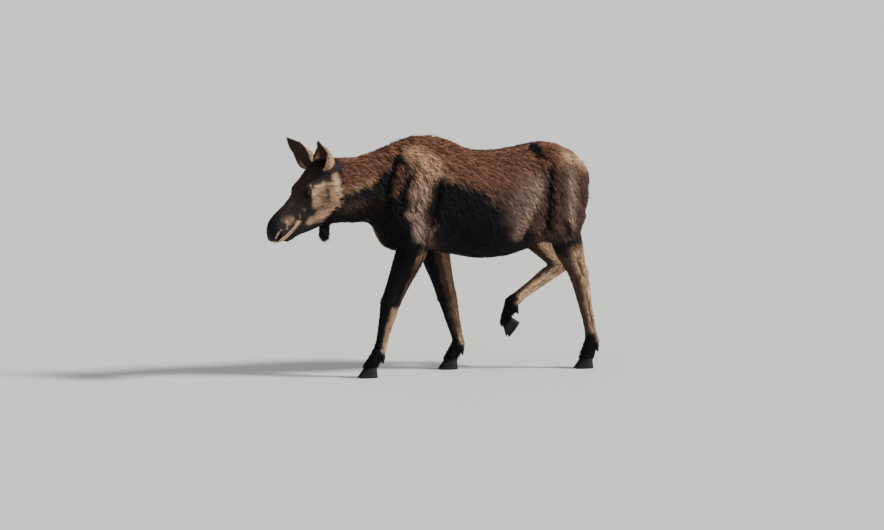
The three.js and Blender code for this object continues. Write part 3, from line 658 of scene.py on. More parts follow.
def lie_of(anatomy, normals, edges):
    """The way the hair points at each place, along the skin."""
    places = anatomy.places
    view = side_view(places)
    slope = mix(0.35, 1.15, smoothstep(0.9, 0.35, normals[:, 2]))
    slope = mix(slope, 0.25, smoothstep(-0.4, -0.9, normals[:, 2]))
    slope = mix(slope, 2.4, smoothstep(0.24, 0.44, view[:, 0]) * smoothstep(0.5, 0.2, normals[:, 2]))
    slope = mix(slope, 2.2, smoothstep(-0.36, -0.50, view[:, 0]))
    slope = mix(slope, 0.75, smoothstep(0.68, 0.86, places[:, 0]))
    lie = np.stack((-np.ones(len(places)), np.zeros(len(places)), -slope), 1)
    behind = smoothstep(-0.60, -0.72, places[:, 0])[:, None]
    lie = mix(lie, np.array((0.0, 0.0, -1.0)), behind)
    cheek = smoothstep(0.40, 0.18, anatomy.on_head[:, 0]) * smoothstep(0.05, -0.05, anatomy.on_head[:, 2])
    face = -HEAD_FORWARD - HEAD_UP * (0.12 + 0.75 * cheek)[:, None]
    lie = np.where(anatomy.part("head", "jaw")[:, None], face, lie)
    lie = np.where(anatomy.part("tail", "bell")[:, None], np.array((-0.2, 0.0, -1.0)), lie)
    for name, (root, tip) in EARS.items():
        lie = np.where(anatomy.part(name)[:, None], unit(np.array(tip) - root), lie)
    for name, joints in LIMBS.items():
        along, _, _ = limb_places(places, joints)
        spans = unit(np.diff(np.array(joints), axis=0))
        lie = np.where(anatomy.part(name)[:, None], spans[np.clip(along.astype(int), 0, 2)], lie)
    lie = relaxed(unit(lie), edges, 24)
    return unit(lie - normals * np.sum(lie * normals, 1, keepdims=True))


def hair_sizes(anatomy, normals, edges, coat):
    """The length, width and lift of a tuft, and the tufts on a square metre, at each place."""
    table = {  # length, width, lift of the tip, tufts on a square metre
        "ear": (coat.ear, 0.0022, 0.0030, 48000),
        "head": (coat.face, 0.0021, 0.0028, 51000),
        "jaw": (1.3 * coat.face, 0.0024, 0.0036, 45000),
        "neck": (coat.body, 0.0060, 0.0110, 16000),
        "trunk": (coat.body, 0.0064, 0.0100, 15000),
        "tail": (0.8 * coat.body, 0.0050, 0.0060, 30000),
        "bell": (0.9 * coat.body, 0.0060, 0.0080, 34000),
        "pastern": (1.15 * coat.leg, 0.0035, 0.0080, 26000),
        "cannon": (coat.leg, 0.0035, 0.0040, 23000),
        "forearm": (1.35 * coat.leg, 0.0046, 0.0065, 19000),
        "gaskin": (1.35 * coat.leg, 0.0046, 0.0065, 19000),
    }
    sizes = anatomy.value(table)
    body = np.array(table["trunk"]) * (0.85, 0.95, 0.85, 1.1)
    for name, joints in LIMBS.items():
        here = anatomy.part(name)
        along, _, _ = limb_places(anatomy.places[here], joints)
        sizes[here] = mix(body, sizes[here], smoothstep(-0.05, 0.75, along)[:, None])
    low = smoothstep(1.25, 1.00, anatomy.places[:, 2]) * anatomy.part("trunk", "neck")
    sizes *= 1 + low[:, None] * (np.array((0.75, 0.88, 0.75, 1.2)) - 1)
    sizes = relaxed(sizes, edges, 14)
    mane = relaxed(mane_share(anatomy.places, normals, anatomy)[:, None], edges, 6)[:, 0]
    sizes[:, 0] = mix(sizes[:, 0], coat.mane, mane)
    sizes[:, 1] *= 1 + 0.25 * mane
    sizes[:, 2] = mix(sizes[:, 2], 0.015, mane)
    head = anatomy.on_head
    in_eye = smoothstep(1.30, 1.15, eye_shares(head, bpy.context.scene.moose_skin.lid_opening))
    mirrored = np.stack((head[:, 0], np.abs(head[:, 1]), head[:, 2]), 1)
    in_nose = smoothstep(0.013, 0.009, path_distance(mirrored, NOSTRIL_SLIT))
    lips = smoothstep(0.0055, 0.0035, path_distance(head[:, (0, 2)], MOUTH)) * anatomy.part("head", "jaw")
    sizes[:, 3] *= (1 - in_eye) * (1 - in_nose) * (1 - lips)
    face = smoothstep(0.02, 0.07, head[:, 0]) * anatomy.part("head", "jaw")
    sizes[:, 0] = np.where(face > 0.5, np.minimum(sizes[:, 0], 1.15 * coat.face), sizes[:, 0])
    sizes[:, 2] = np.where(face > 0.5, np.minimum(sizes[:, 2], 0.0040), sizes[:, 2])
    nose = smoothstep(0.50, 0.62, head[:, 0]) * anatomy.part("head", "jaw")
    sizes[:, 0] *= 1 - 0.45 * nose
    sizes[:, 2] *= 1 - 0.45 * nose
    return sizes


# --------------------------------------------------------------------------------------------- markings, with painted light and shade

# Seen from the side: colour, a path of forward and up, half width, soft edge, and strength. Besides the coat's own
# marks, some rows paint shade into hollows and sheen onto raised forms.
BODY_MARKS_AND_PAINTED_LIGHT = (
    ("brown", ((-0.62, 1.52), (-0.30, 1.53), (0.00, 1.50), (0.20, 1.52)), 0.115, 0.10, 1.0),  # back
    ("brown", ((-0.22, 1.38), (-0.02, 1.36), (0.22, 1.40)), 0.080, 0.08, 0.9),  # upper side
    ("brown", ((0.25, 1.58), (0.43, 1.60), (0.62, 1.57), (0.80, 1.50), (1.05, 1.44)), 0.090, 0.05, 1.0),  # crest
    ("brown", ((0.84, 1.40), (0.98, 1.37), (1.06, 1.34)), 0.075, 0.035, 0.95),  # side of the neck
    ("tan", ((0.80, 1.345), (0.90, 1.300), (1.00, 1.265)), 0.022, 0.030, 0.45),  # hem of the neck's long hair
    ("black", ((0.31, 1.17), (0.12, 1.06), (-0.04, 0.97), (-0.14, 0.91)), 0.155, 0.055, 1.0),  # side and belly
    ("black", ((0.36, 0.98), (0.20, 0.90), (-0.10, 0.86), (-0.26, 0.90)), 0.065, 0.050, 0.92),
    ("black", ((0.67, 1.14), (0.68, 1.00), (0.60, 0.93)), 0.105, 0.05, 1.0),  # chest
    ("black", ((0.572, 1.510), (0.640, 1.400), (0.705, 1.300), (0.745, 1.180)), 0.050, 0.025, 1.0),  # before the shoulder, with the next row: dark hair, deepened by a painted shadow
    ("black", ((0.700, 1.340), (0.775, 1.280), (0.785, 1.160), (0.760, 1.05)), 0.055, 0.035, 1.0),
    ("dark", ((0.84, 1.19), (0.95, 1.15), (1.10, 1.15)), 0.105, 0.035, 1.0),  # throat
    ("black", ((0.80, 1.10), (0.95, 1.06), (1.10, 1.08)), 0.035, 0.050, 0.8),
    ("umber", ((0.90, 1.19), (1.00, 1.16)), 0.020, 0.040, 0.5),
    ("brown", ((0.672, 1.245), (0.640, 1.335), (0.598, 1.425)), 0.020, 0.018, 0.9),  # strip on the shoulder
    ("tan", ((0.530, 1.505), (0.470, 1.500), (0.400, 1.450), (0.370, 1.400)), 0.046, 0.045, 0.95),  # the blade's fan, partly painted sheen
    ("tan", ((0.470, 1.44), (0.480, 1.32), (0.500, 1.24)), 0.055, 0.055, 0.65),  # the blade, partly painted sheen
    ("grey", ((0.495, 1.26), (0.535, 1.14), (0.530, 1.05), (0.515, 0.96)), 0.034, 0.036, 0.85),  # painted sheen on the upper arm
    ("grey", ((0.560, 1.120), (0.590, 1.100)), 0.020, 0.022, 0.7),
    ("dark", ((0.536, 1.190), (0.556, 1.135)), 0.010, 0.020, 0.75),  # painted shade in the hollow of the upper arm
    # painted shade in the hollow before the shoulder blade's ridge
    ("black", ((0.545, 1.375), (0.592, 1.315), (0.632, 1.250), (0.650, 1.17)), 0.018, 0.018, 1.0),
    ("tan", ((0.385, 1.41), (0.340, 1.370), (0.270, 1.345)), 0.016, 0.024, 0.65),  # tips behind the shoulder
    ("black", ((0.395, 1.27), (0.400, 1.12), (0.440, 1.00)), 0.018, 0.020, 0.95),  # behind the upper arm: dark hair, deepened by painted shade in the hollow
    ("umber", ((0.430, 1.06), (0.455, 0.96)), 0.010, 0.020, 0.6),
    ("grey", ((0.395, 1.02), (0.430, 0.965)), 0.006, 0.010, 0.7),  # crease of the elbow
    ("grey", ((-0.337, 1.30), (-0.290, 1.165), (-0.238, 1.056), (-0.190, 0.955)), 0.012, 0.075, 0.85),  # painted sheen on the fold of the flank
    ("grey", ((-0.28, 1.34), (-0.21, 1.20), (-0.15, 1.07)), 0.020, 0.100, 0.40),  # sheen before it
    ("black", ((-0.362, 1.515), (-0.372, 1.480)), 0.034, 0.022, 1.0),  # painted shade in the dimple before the hip
    ("tan", ((-0.560, 1.470), (-0.635, 1.450), (-0.690, 1.395)), 0.024, 0.065, 0.85),  # rump, with the next row: partly a painted highlight
    ("cream", ((-0.590, 1.455), (-0.660, 1.420)), 0.010, 0.050, 0.60),
    ("black", ((-0.446, 1.387), (-0.425, 1.174), (-0.425, 0.985)), 0.026, 0.030, 1.0),  # painted shade in the groove before the thigh
    ("grey", ((-0.590, 1.36), (-0.585, 1.18), (-0.570, 1.00)), 0.016, 0.060, 0.80),  # painted sheen on the middle of the thigh
    ("black", ((-0.530, 1.020), (-0.560, 0.960)), 0.022, 0.022, 0.9),  # painted shade in the hollow behind the kneecap
    ("grey", ((-0.490, 0.995),), 0.010, 0.016, 0.6),  # painted highlight on the kneecap
    ("umber", ((-0.735, 1.28), (-0.74, 1.10), (-0.69, 0.94)), 0.030, 0.035, 0.9),  # back of the thigh
)


RAGGED = 0.022  # how far the streaks of the hair carry the marks' edges


def painted(colours, weight, shade):
    return colours + (np.asarray(shade) - colours) * np.clip(weight, 0, 1)[:, None]


def body_colours(places, normals, shades, ragged):
    view = side_view(places)
    rough = 0.014 * noise(places, 0.045, 11) + 0.008 * noise(places, 0.016, 12) + RAGGED * ragged
    found = np.tile(np.asarray(shades.umber, float), (len(places), 1))
    found = painted(found, smoothstep(0.96, 0.84, places[:, 2]), shades.black)
    for name, path, width, soft, strength in BODY_MARKS_AND_PAINTED_LIGHT:
        gap = path_distance(view, path) + rough
        found = painted(found, strength * smoothstep(width + soft, width - 0.4 * soft, gap), getattr(shades, name))
    # painted shade in the cleft between the thighs, where the skin is sunk
    found = painted(found, 0.85 * cleft_share(places), shades.black)
    ridge = smoothstep(0.86, 0.97, normals[:, 2]) * smoothstep(0.035, 0.012, np.abs(places[:, 1]))
    return painted(found, 0.75 * ridge * smoothstep(0.30, 0.10, places[:, 0]), shades.dark)


FACE_MARKS_AND_PAINTED_LIGHT = (  # on the head, both sides: colour, a path of along, left and up, half width, soft edge, strength; a few rows paint shadow and highlight
    ("umber", ((0.36, 0.02, 0.070), (0.26, 0.03, 0.110), (0.16, 0.04, 0.120)), 0.030, 0.040, 0.35),  # forehead
    ("tan", ((0.235, 0.10, -0.010), (0.170, 0.10, -0.030), (0.120, 0.10, -0.090), (0.150, 0.10, -0.150)), 0.040, 0.030, 0.75),
    ("tan", ((0.260, 0.10, -0.060), (0.240, 0.10, -0.130), (0.300, 0.09, -0.150)), 0.042, 0.030, 0.70),  # cheek
    ("umber", ((0.205, 0.10, -0.050), (0.240, 0.10, -0.110)), 0.026, 0.030, 0.60),  # its middle
    ("tan", ((0.250, 0.08, -0.190), (0.320, 0.08, -0.160), (0.390, 0.07, -0.120)), 0.022, 0.024, 0.85),  # below it
    # pale rim at the back of the cheek, partly a painted highlight
    ("cream", ((0.052, 0.09, -0.035), (0.080, 0.09, -0.095), (0.125, 0.09, -0.170), (0.195, 0.08, -0.200)), 0.017, 0.026, 0.9),
    ("cream", ((0.150, 0.10, -0.003), (0.200, 0.10, 0.026)), 0.008, 0.014, 0.55),  # upper edge of the cheek
    ("dark", ((0.160, 0.10, -0.052), (0.182, 0.10, -0.088)), 0.009, 0.020, 0.85),  # patches on the cheek
    ("dark", ((0.196, 0.10, -0.122), (0.225, 0.10, -0.150)), 0.006, 0.018, 0.55),
    ("cream", ((0.216, 0.09, 0.070), (0.236, 0.10, 0.042), (0.250, 0.10, 0.014)), 0.005, 0.010, 0.85),  # behind the eye
    ("cream", ((0.218, 0.09, 0.068), (0.200, 0.10, 0.030)), 0.003, 0.009, 0.6),
    # dark hair below the eye, deepened by a painted shadow in the tear groove
    ("black", ((0.272, 0.09, 0.072), (0.282, 0.09, 0.040), (0.306, 0.09, -0.005), (0.352, 0.08, -0.055)), 0.017, 0.016, 0.97),
    ("cream", ((0.366, 0.08, 0.006), (0.374, 0.08, -0.040)), 0.004, 0.010, 0.85),
    ("cream", ((0.396, 0.075, -0.020), (0.420, 0.075, -0.040), (0.478, 0.07, -0.047)), 0.002, 0.010, 0.75),
    ("dark", ((0.385, 0.07, -0.075), (0.430, 0.07, -0.090)), 0.010, 0.014, 0.7),
    ("tan", ((0.478, 0.07, 0.014), (0.520, 0.07, 0.044)), 0.010, 0.026, 0.45),  # muzzle's side
    ("tan", ((0.470, 0.07, -0.010), (0.520, 0.07, 0.000)), 0.008, 0.020, 0.60),
    ("cream", ((0.515, 0.07, 0.006), (0.545, 0.07, -0.012)), 0.005, 0.013, 0.7),
    ("black", ((0.57, 0.03, 0.090), (0.63, 0.03, 0.060), (0.67, 0.03, 0.010)), 0.045, 0.025, 0.9),  # tip of the nose
    ("black", ((0.340, 0.03, -0.232), (0.420, 0.03, -0.170), (0.500, 0.03, -0.120), (0.590, 0.03, -0.105)), 0.030, 0.014, 0.85),
)


def head_colours(head, shades, ragged):
    mirrored = np.stack((head[:, 0], np.abs(head[:, 1]), head[:, 2]), 1)
    rough = 0.007 * noise(mirrored, 0.020, 21) + 0.004 * noise(mirrored, 0.007, 22) + 0.010 * ragged
    found = np.tile(np.asarray(shades.dark, float), (len(head), 1))
    for name, path, width, soft, strength in FACE_MARKS_AND_PAINTED_LIGHT:
        gap = path_distance(mirrored, path) + rough
        found = painted(found, strength * smoothstep(width + soft, width - 0.4 * soft, gap), getattr(shades, name))
    cheek = smoothstep(0.42, 0.34, head[:, 0]) * smoothstep(0.03, -0.02, head[:, 2]) * smoothstep(0.03, 0.07, head[:, 0])
    found = painted(found, 0.72 * cheek * smoothstep(0.0, 0.30, ragged), shades.dark)
    found = painted(found, 0.45 * cheek * smoothstep(-0.10, -0.45, ragged) * (found[:, 0] > 0.1), shades.cream)
    line = path_distance(head[:, (0, 2)], MOUTH)
    lips = smoothstep(0.0075, 0.0045, np.abs(line - 0.0075)) * smoothstep(0.42, 0.46, head[:, 0])
    found = painted(found, 0.85 * lips * smoothstep(-0.074, -0.066, head[:, 2]), shades.cream)
    found = painted(found, smoothstep(0.0045, 0.0030, line) * smoothstep(0.44, 0.46, head[:, 0]), shades.black)
    found = painted(found, 0.8 * smoothstep(0.009, 0.005, path_distance(mirrored, NOSTRIL_EDGE)), shades.grey)
    found = painted(found, smoothstep(0.015, 0.011, path_distance(mirrored, NOSTRIL_SLIT)), shades.black)
    almond = eye_shares(head, bpy.context.scene.moose_skin.lid_opening)
    return painted(found, smoothstep(2.1, 1.3, almond), shades.black)


def limb_colours(places, name, shades, ragged):
    along, front, left = limb_places(places, LIMBS[name])
    side = 1 if name.endswith("left") else -1
    inner = smoothstep(0.010, -0.020, side * left)
    front = front + 0.010 * noise(places, 0.03, 31) + 0.005 * noise(places, 0.012, 32)
    names = ("black", "dark", "cream", "tan", "umber")
    black, dark, cream, tan, umber = (np.asarray(getattr(shades, shade), float) for shade in names)
    found = np.tile(black, (len(places), 1))
    if name.startswith("fore"):
        # The outer side is black, with a mottled tan rear edge above, and a cream rear half below the knee.
        upper = smoothstep(-0.020, -0.045, front) * smoothstep(0.50, 0.30, along)
        found = painted(found, 0.85 * upper * smoothstep(0.5, -0.3, ragged), tan)
        edge = smoothstep(-0.034, -0.048, front) * smoothstep(0.3, 0.5, along)
        found = painted(found, 0.75 * edge, umber)
        lower = smoothstep(0.010, -0.008, front) * smoothstep(1.02, 1.14, along)
        found = painted(found, 0.9 * lower, mix(tan, cream, 0.55))
        found = painted(found, 0.5 * lower * smoothstep(0.0, 0.5, ragged), umber)
        sleeve = inner * smoothstep(0.038, 0.016, front) * smoothstep(1.95, 1.6, along)
        found = painted(found, 0.80 * sleeve, mix(dark, umber, 0.75))
        found = painted(found, 0.45 * sleeve * smoothstep(-0.005, -0.025, front), tan)
    else:
        shank = smoothstep(0.22, 0.55, along)
        found = painted(found, 0.9 * shank, mix(dark, umber, 0.8))
        rear = smoothstep(0.016, -0.012, front)
        found = painted(found, shank * rear, mix(tan, cream, 0.75))
        found = painted(found, 0.55 * shank * smoothstep(0.026, 0.008, front) * (1 - rear), tan)
        # Painted shade in the grooves beside the cannon's tendon and down the gaskin, on the lines that limb_relief
        # sinks.
        groove_shade = np.exp(-(((front + 0.014) / 0.007) ** 2)) * smoothstep(0.98, 1.1, along) * smoothstep(1.95, 1.8, along)
        found = painted(found, 0.80 * groove_shade, mix(dark, umber, 0.7))
        gaskin = np.exp(-(((front + 0.028) / 0.012) ** 2)) * smoothstep(0.45, 0.6, along) * smoothstep(0.98, 0.9, along)
        found = painted(found, 0.75 * gaskin, mix(dark, umber, 0.6))
        found = painted(found, 0.9 * inner * smoothstep(0.034, 0.012, front), cream)
        hock = inner * smoothstep(0.80, 0.92, along) * smoothstep(1.22, 1.05, along)
        found = painted(found, 0.65 * hock * smoothstep(0.1, -0.3, ragged), umber)
        found = painted(found, 0.7 * shank * smoothstep(0.10, 0.45, ragged), umber)
        found = painted(found, smoothstep(1.84, 1.92, along) * mix(1.0, 0.35, smoothstep(0.0, -0.03, front)), black)
    return painted(found, smoothstep(2.0, 2.15, along), shades.black)


def ear_colours(places, normals, name, shades, ragged):
    root, tip = (np.array(p) for p in EARS[name])
    share = np.clip((places - root) @ (tip - root) / ((tip - root) @ (tip - root)), 0, 1)
    inside = smoothstep(0.05, 0.45, normals @ EAR_OPENINGS[name])
    # The pale outside is partly a painted highlight.
    found = np.tile(mix(np.asarray(shades.tan), np.asarray(shades.cream), 0.45), (len(places), 1))
    found = painted(found, 0.5 * smoothstep(0.0, 0.6, ragged), shades.umber)
    found = painted(found, 0.55 * smoothstep(0.55, 0.85, share), shades.umber)
    # The dark hollow inside the cup is partly painted shade; its pale streaks are hairs.
    hollow = mix(np.asarray(shades.dark), np.asarray(shades.umber), 0.35)
    pale = smoothstep(0.35, 0.9, ragged) * smoothstep(0.7, 0.3, share)
    hollow = hollow + (np.asarray(shades.grey) - hollow) * (0.6 * pale)[:, None]
    found = found + (hollow - found) * (0.97 * inside)[:, None]
    return painted(found, 0.8 * smoothstep(0.86, 0.98, share), shades.dark)


def markings_and_painted_light(places, normals, part, shades, ragged=0.0):
    """The coat's colour, with its painted shade and sheen, at places of one part: a limb's or an ear's name, head,
    bell, tail, or the body.
    """
    if part in ("bell", "tail"):
        return np.tile(np.asarray(shades.black if part == "bell" else shades.dark, float), (len(places), 1))
    if part == "head":
        return head_colours(on_head(places), shades, ragged + np.zeros(len(places)))
    if part in EARS:
        return ear_colours(places, normals, part, shades, ragged + np.zeros(len(places)))
    body = body_colours(places, normals, shades, ragged)
    if part not in LIMBS:
        return body
    along, _, _ = limb_places(places, LIMBS[part])
    return mix(body, limb_colours(places, part, shades, ragged + np.zeros(len(places))), smoothstep(0.02, 0.30, along)[:, None])


def colours_of(anatomy, normals, edges, shades):
    """The coat's colour, with its painted shade and sheen, at each place of the skin."""
    found = np.zeros((len(normals), 3))
    regions = {"head": ("head", "jaw"), "trunk": ("trunk", "neck"), "bell": ("bell",), "tail": ("tail",)}
    regions.update({name: (name,) for name in (*EARS, *LIMBS)})
    for part, words in regions.items():
        here = anatomy.part(*words)
        found[here] = markings_and_painted_light(anatomy.places[here], normals[here], part, shades)
    return relaxed(found, edges, 2)


# ------------------------------------------------------------------------------------------------ tufts

LONG_TUFT = {"rings": (0.0, 0.36, 0.72), "widths": (0.75, 1.0, 0.62)}
SHORT_TUFT = {"rings": (0.0, 0.45), "widths": (0.8, 1.0)}
THICKNESS = 0.42  # of a tuft, as a share of its width
SUNK = 0.0015  # how deep a tuft's root is in the skin
PATCH = 0.003  # the size of a tuft's place on the bake's map
SIDES = 3
STREAK_LENGTH = 0.016


def sown(places, corners, per_area, seed):
    """Roots spread over triangles: the triangle of each, and its shares of the three corners."""
    draw = np.random.default_rng(seed)
    a, b, c = (places[corners[:, k]] for k in range(3))
    area = 0.5 * np.linalg.norm(np.cross(b - a, c - a), axis=1)
    total = np.cumsum(area * per_area[corners].mean(1))
    count = int(total[-1])
    face = np.searchsorted(total, (np.arange(count) + draw.random(count)) * total[-1] / count)
    face = np.minimum(face, len(corners) - 1)
    first, second = draw.random((2, count))
    folded = first + second > 1
    first, second = np.where(folded, 1 - first, first), np.where(folded, 1 - second, second)
    return face, np.stack((1 - first - second, first, second), 1), draw


def tuft_template(kind):
    """Faces of one tuft, as its corners in order and the size of each face, and each vertex's place on its patch."""
    rings = len(kind["rings"])
    faces = [(0, 2, 1)]
    for ring in range(rings - 1):
        low, high = ring * SIDES, (ring + 1) * SIDES
        faces += [(low + k, low + (k + 1) % SIDES, high + (k + 1) % SIDES, high + k) for k in range(SIDES)]
    last, tip = (rings - 1) * SIDES, rings * SIDES
    faces += [(last + k, last + (k + 1) % SIDES, tip) for k in range(SIDES)]
    patch = [(x, t) for t in kind["rings"] for x in (0.0, 1.0, 0.5)] + [(0.5, 1.0)]
    return np.concatenate(faces), np.array([len(f) for f in faces]), np.array(patch) - 0.5


def tuft_mesh(name, kind, roots, lie, out, sizes, colours, map_places, draw):
    """All the tufts of one piece of the coat as one mesh."""
    count = len(roots)
    size, wide, lift = (sizes[:, k] * (1 + 0.22 * draw.uniform(-1, 1, count)) for k in range(3))
    across = unit(np.cross(out, lie))
    roll = draw.uniform(-0.5, 0.5, count)[:, None]
    rise = unit(out * np.cos(roll) + across * np.sin(roll))
    across = unit(np.cross(rise, lie))
    bend = draw.normal(0, 0.10, count)
    rows = []
    for t, share in [*zip(kind["rings"], kind["widths"]), (1.0, 0.0)]:
        height = lift * (1 - (1 - t) ** 2) - SUNK
        middle = roots + lie * (size * t)[:, None] + out * height[:, None] + across * (bend * size * t * t)[:, None]
        if share == 0:
            rows.append(middle)
            continue
        half = across * (0.5 * share * wide)[:, None]
        rows += [middle - half, middle + half, middle + rise * (THICKNESS * share * wide)[:, None]]
    places = np.stack(rows, 1)
    corners, totals, patch = tuft_template(kind)
    per = places.shape[1]
    mesh = bpy.data.meshes.new(name)
    mesh.vertices.add(count * per)
    mesh.loops.add(count * len(corners))
    mesh.polygons.add(count * len(totals))
    offsets = np.arange(count)[:, None] * per
    loops = (corners[None] + offsets).ravel()
    mesh.loops.foreach_set("vertex_index", loops.astype(np.int32))
    starts = np.concatenate(([0], np.cumsum(totals)[:-1]))
    mesh.polygons.foreach_set("loop_start", (starts[None] + np.arange(count)[:, None] * len(corners)).ravel().astype(np.int32))
    mesh.vertices.foreach_set("co", turned(places.reshape(-1, 3)).astype(np.float32).ravel())
    mesh.update(calc_edges=True)
    mesh.polygons.foreach_set("use_smooth", np.ones(count * len(totals), bool))
    shade = np.exp(0.26 * draw.normal(0, 1, count).clip(-2, 2))[:, None, None]
    steps = np.array([t for t in kind["rings"] for _ in range(SIDES)] + [1.0])
    along = (0.55 + 0.80 * steps)[None, :, None]
    tinted = np.clip(colours[:, None, :] * shade * along, 0, 1)
    full = np.concatenate((tinted, np.ones((count, per, 1))), 2)
    keep(mesh, "coat_colour", full.reshape(-1, 4))
    on_map = map_places[:, None, :] + PATCH * patch[None]
    layer = mesh.uv_layers.new(name="OFBake")
    layer.uv.foreach_set("vector", on_map.reshape(-1, 2)[loops].astype(np.float32).ravel())
    return mesh


def stretched(values):
    """Values moved and scaled to run over the bake's map, a little inside its edges."""
    low, high = np.quantile(values, (0.002, 0.998))
    return 0.01 + 0.98 * np.clip((values - low) / max(high - low, 1e-9), 0, 1)


def unwrapped(places, part):
    """Each root's place on an unwrap of its part: round the part's own axis, and along it."""
    if part in LIMBS:
        along, front, left = limb_places(places, LIMBS[part])
        middle = np.interp(along, range(4), [joint[1] for joint in LIMBS[part]])
        return np.stack((stretched(np.arctan2(places[:, 1] - middle, front)), stretched(along)), 1)
    if part in EARS:
        root, tip = (np.array(p) for p in EARS[part])
        axis = unit(tip - root)
        side = unit(np.cross(axis, (1.0, 0.0, 0.0)))
        away = places - root
        return np.stack((stretched(np.arctan2(away @ side, away @ np.cross(axis, side))), stretched(away @ axis)), 1)
    if part == "head":
        head = on_head(places)
        return np.stack((stretched(np.arctan2(head[:, 1], head[:, 2] + 0.05)), stretched(head[:, 0])), 1)
    middle = {"tail": 1.35, "bell": 1.05}.get(part, 1.20)
    if part in ("tail", "bell"):
        centre = places.mean(0)
        angle = np.arctan2(places[:, 1] - centre[1], places[:, 0] - centre[0])
        return np.stack((stretched(angle), stretched(places[:, 2])), 1)
    return np.stack((stretched(np.arctan2(places[:, 1], places[:, 2] - middle)), stretched(places[:, 0])), 1)


def streaks(roots, lie, size, seed):
    """Noise drawn out along the lie of the hair, from about -1 to 1."""
    steps = np.linspace(-1.6, 1.6, 7)
    return sum(noise(roots + lie * (step * STREAK_LENGTH), size, seed) for step in steps) / len(steps) * 1.9


def grow(skin, name, part, here, kind, slot, coat):
    """Grows one piece of the coat on the triangles of the skin that here picks."""
    places, corners, _ = arrays_of(skin.data)
    places = turned(places)
    lie, sizes = kept(skin.data, "lie", 3), kept(skin.data, "hair", 4)
    out = normals_of(places, corners)
    corners = corners[here]
    face, shares, draw = sown(places, corners, coat.share * sizes[:, 3], sum(map(ord, name)))
    at = corners[face]

    def blended(values):
        return np.einsum("ij,ijk->ik", shares, values[at])

    roots, out, sizes = (blended(v) for v in (places, unit(out), sizes))
    out, lie = unit(out), blended(lie)
    swirl = 0.26 * noise(roots, 0.034, 41) + 0.20 * noise(roots, 0.011, 42) + draw.normal(0, 0.08, len(roots))
    lie = unit(lie - out * np.sum(lie * out, 1, keepdims=True))
    across = np.cross(out, lie)
    lie = unit(lie * np.cos(swirl)[:, None] + across * np.sin(swirl)[:, None])
    fine = part == "head" or part in EARS
    streak = streaks(roots, lie, 0.0065 if fine else 0.011, 43) + 0.5 * noise(roots, 0.003 if fine else 0.006, 44)
    strength = smoothstep(0.010, 0.040, sizes[:, 0])
    clump = np.exp(mix(0.30, 0.62, strength) * streak)
    sizes[:, 2] *= np.clip(1 + 0.75 * streak, 0.25, 2.2)
    middle = roots + lie * (0.55 * sizes[:, :1])
    colours = markings_and_painted_light(middle, out, part, bpy.context.scene.moose_colours, streak)
    mesh = tuft_mesh(name, kind, roots, lie, out, sizes, colours * clump[:, None], unwrapped(roots, part), draw)
    piece = new_object(name, mesh)
    piece.data.materials.append(coat_material(slot))
    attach(piece, "root")
    return piece


# -------------------------------------------------------------------------------------------- materials


def new_group(name, inputs, outputs):
    """An empty shader group with named sockets: name, kind and default."""
    group = bpy.data.node_groups.new(name, "ShaderNodeTree")
    for label, kind, default in inputs:
        socket = group.interface.new_socket(label, in_out="INPUT", socket_type=kind)
        if default is not None:
            socket.default_value = default
    for label, kind in outputs:
        group.interface.new_socket(label, in_out="OUTPUT", socket_type=kind)
    return group, group.nodes.new("NodeGroupInput"), group.nodes.new("NodeGroupOutput")


def joined(tree, *pairs):
    for start, end in pairs:
        tree.links.new(start, end)


def node(tree, kind, **values):
    made = tree.nodes.new(kind)
    for name, value in values.items():
        setattr(made, name, value)
    return made


def grain_group():
    """Fine hair grain: a value that varies in streaks, longer along one axis than across it."""
    if "Hair grain" in bpy.data.node_groups:
        return bpy.data.node_groups["Hair grain"]
    group, entry, end = new_group(
        "Hair grain",
        (("Scale", "NodeSocketFloat", 260.0), ("Stretch", "NodeSocketFloat", 0.16)),
        (("Value", "NodeSocketFloat"),),
    )
    where = node(group, "ShaderNodeTexCoord")
    shape = node(group, "ShaderNodeCombineXYZ")
    shape.inputs["X"].default_value = shape.inputs["Y"].default_value = 1.0
    scaled = node(group, "ShaderNodeVectorMath", operation="MULTIPLY")
    strands = node(group, "ShaderNodeTexNoise")
    strands.inputs["Detail"].default_value = 3.0
    joined(
        group,
        (entry.outputs["Stretch"], shape.inputs["Z"]),
        (where.outputs["Object"], scaled.inputs[0]),
        (shape.outputs[0], scaled.inputs[1]),
        (scaled.outputs[0], strands.inputs["Vector"]),
        (entry.outputs["Scale"], strands.inputs["Scale"]),
        (strands.outputs["Fac"], end.inputs["Value"]),
    )
    return group


def tint_group():
    """A colour made lighter and darker by a value around one half."""
    if "Uneven tint" in bpy.data.node_groups:
        return bpy.data.node_groups["Uneven tint"]
    group, entry, end = new_group(
        "Uneven tint",
        (("Color", "NodeSocketColor", None), ("Value", "NodeSocketFloat", 0.5), ("Amount", "NodeSocketFloat", 0.5)),
        (("Color", "NodeSocketColor"),),
    )
    centred = node(group, "ShaderNodeMath", operation="SUBTRACT")
    centred.inputs[1].default_value = 0.5
    gain = node(group, "ShaderNodeMath", operation="MULTIPLY_ADD")
    gain.inputs[2].default_value = 1.0
    scaled = node(group, "ShaderNodeVectorMath", operation="SCALE")
    joined(
        group,
        (entry.outputs["Value"], centred.inputs[0]),
        (centred.outputs[0], gain.inputs[0]),
        (entry.outputs["Amount"], gain.inputs[1]),
        (entry.outputs["Color"], scaled.inputs[0]),
        (gain.outputs[0], scaled.inputs["Scale"]),
        (scaled.outputs[0], end.inputs["Color"]),
    )
    return group


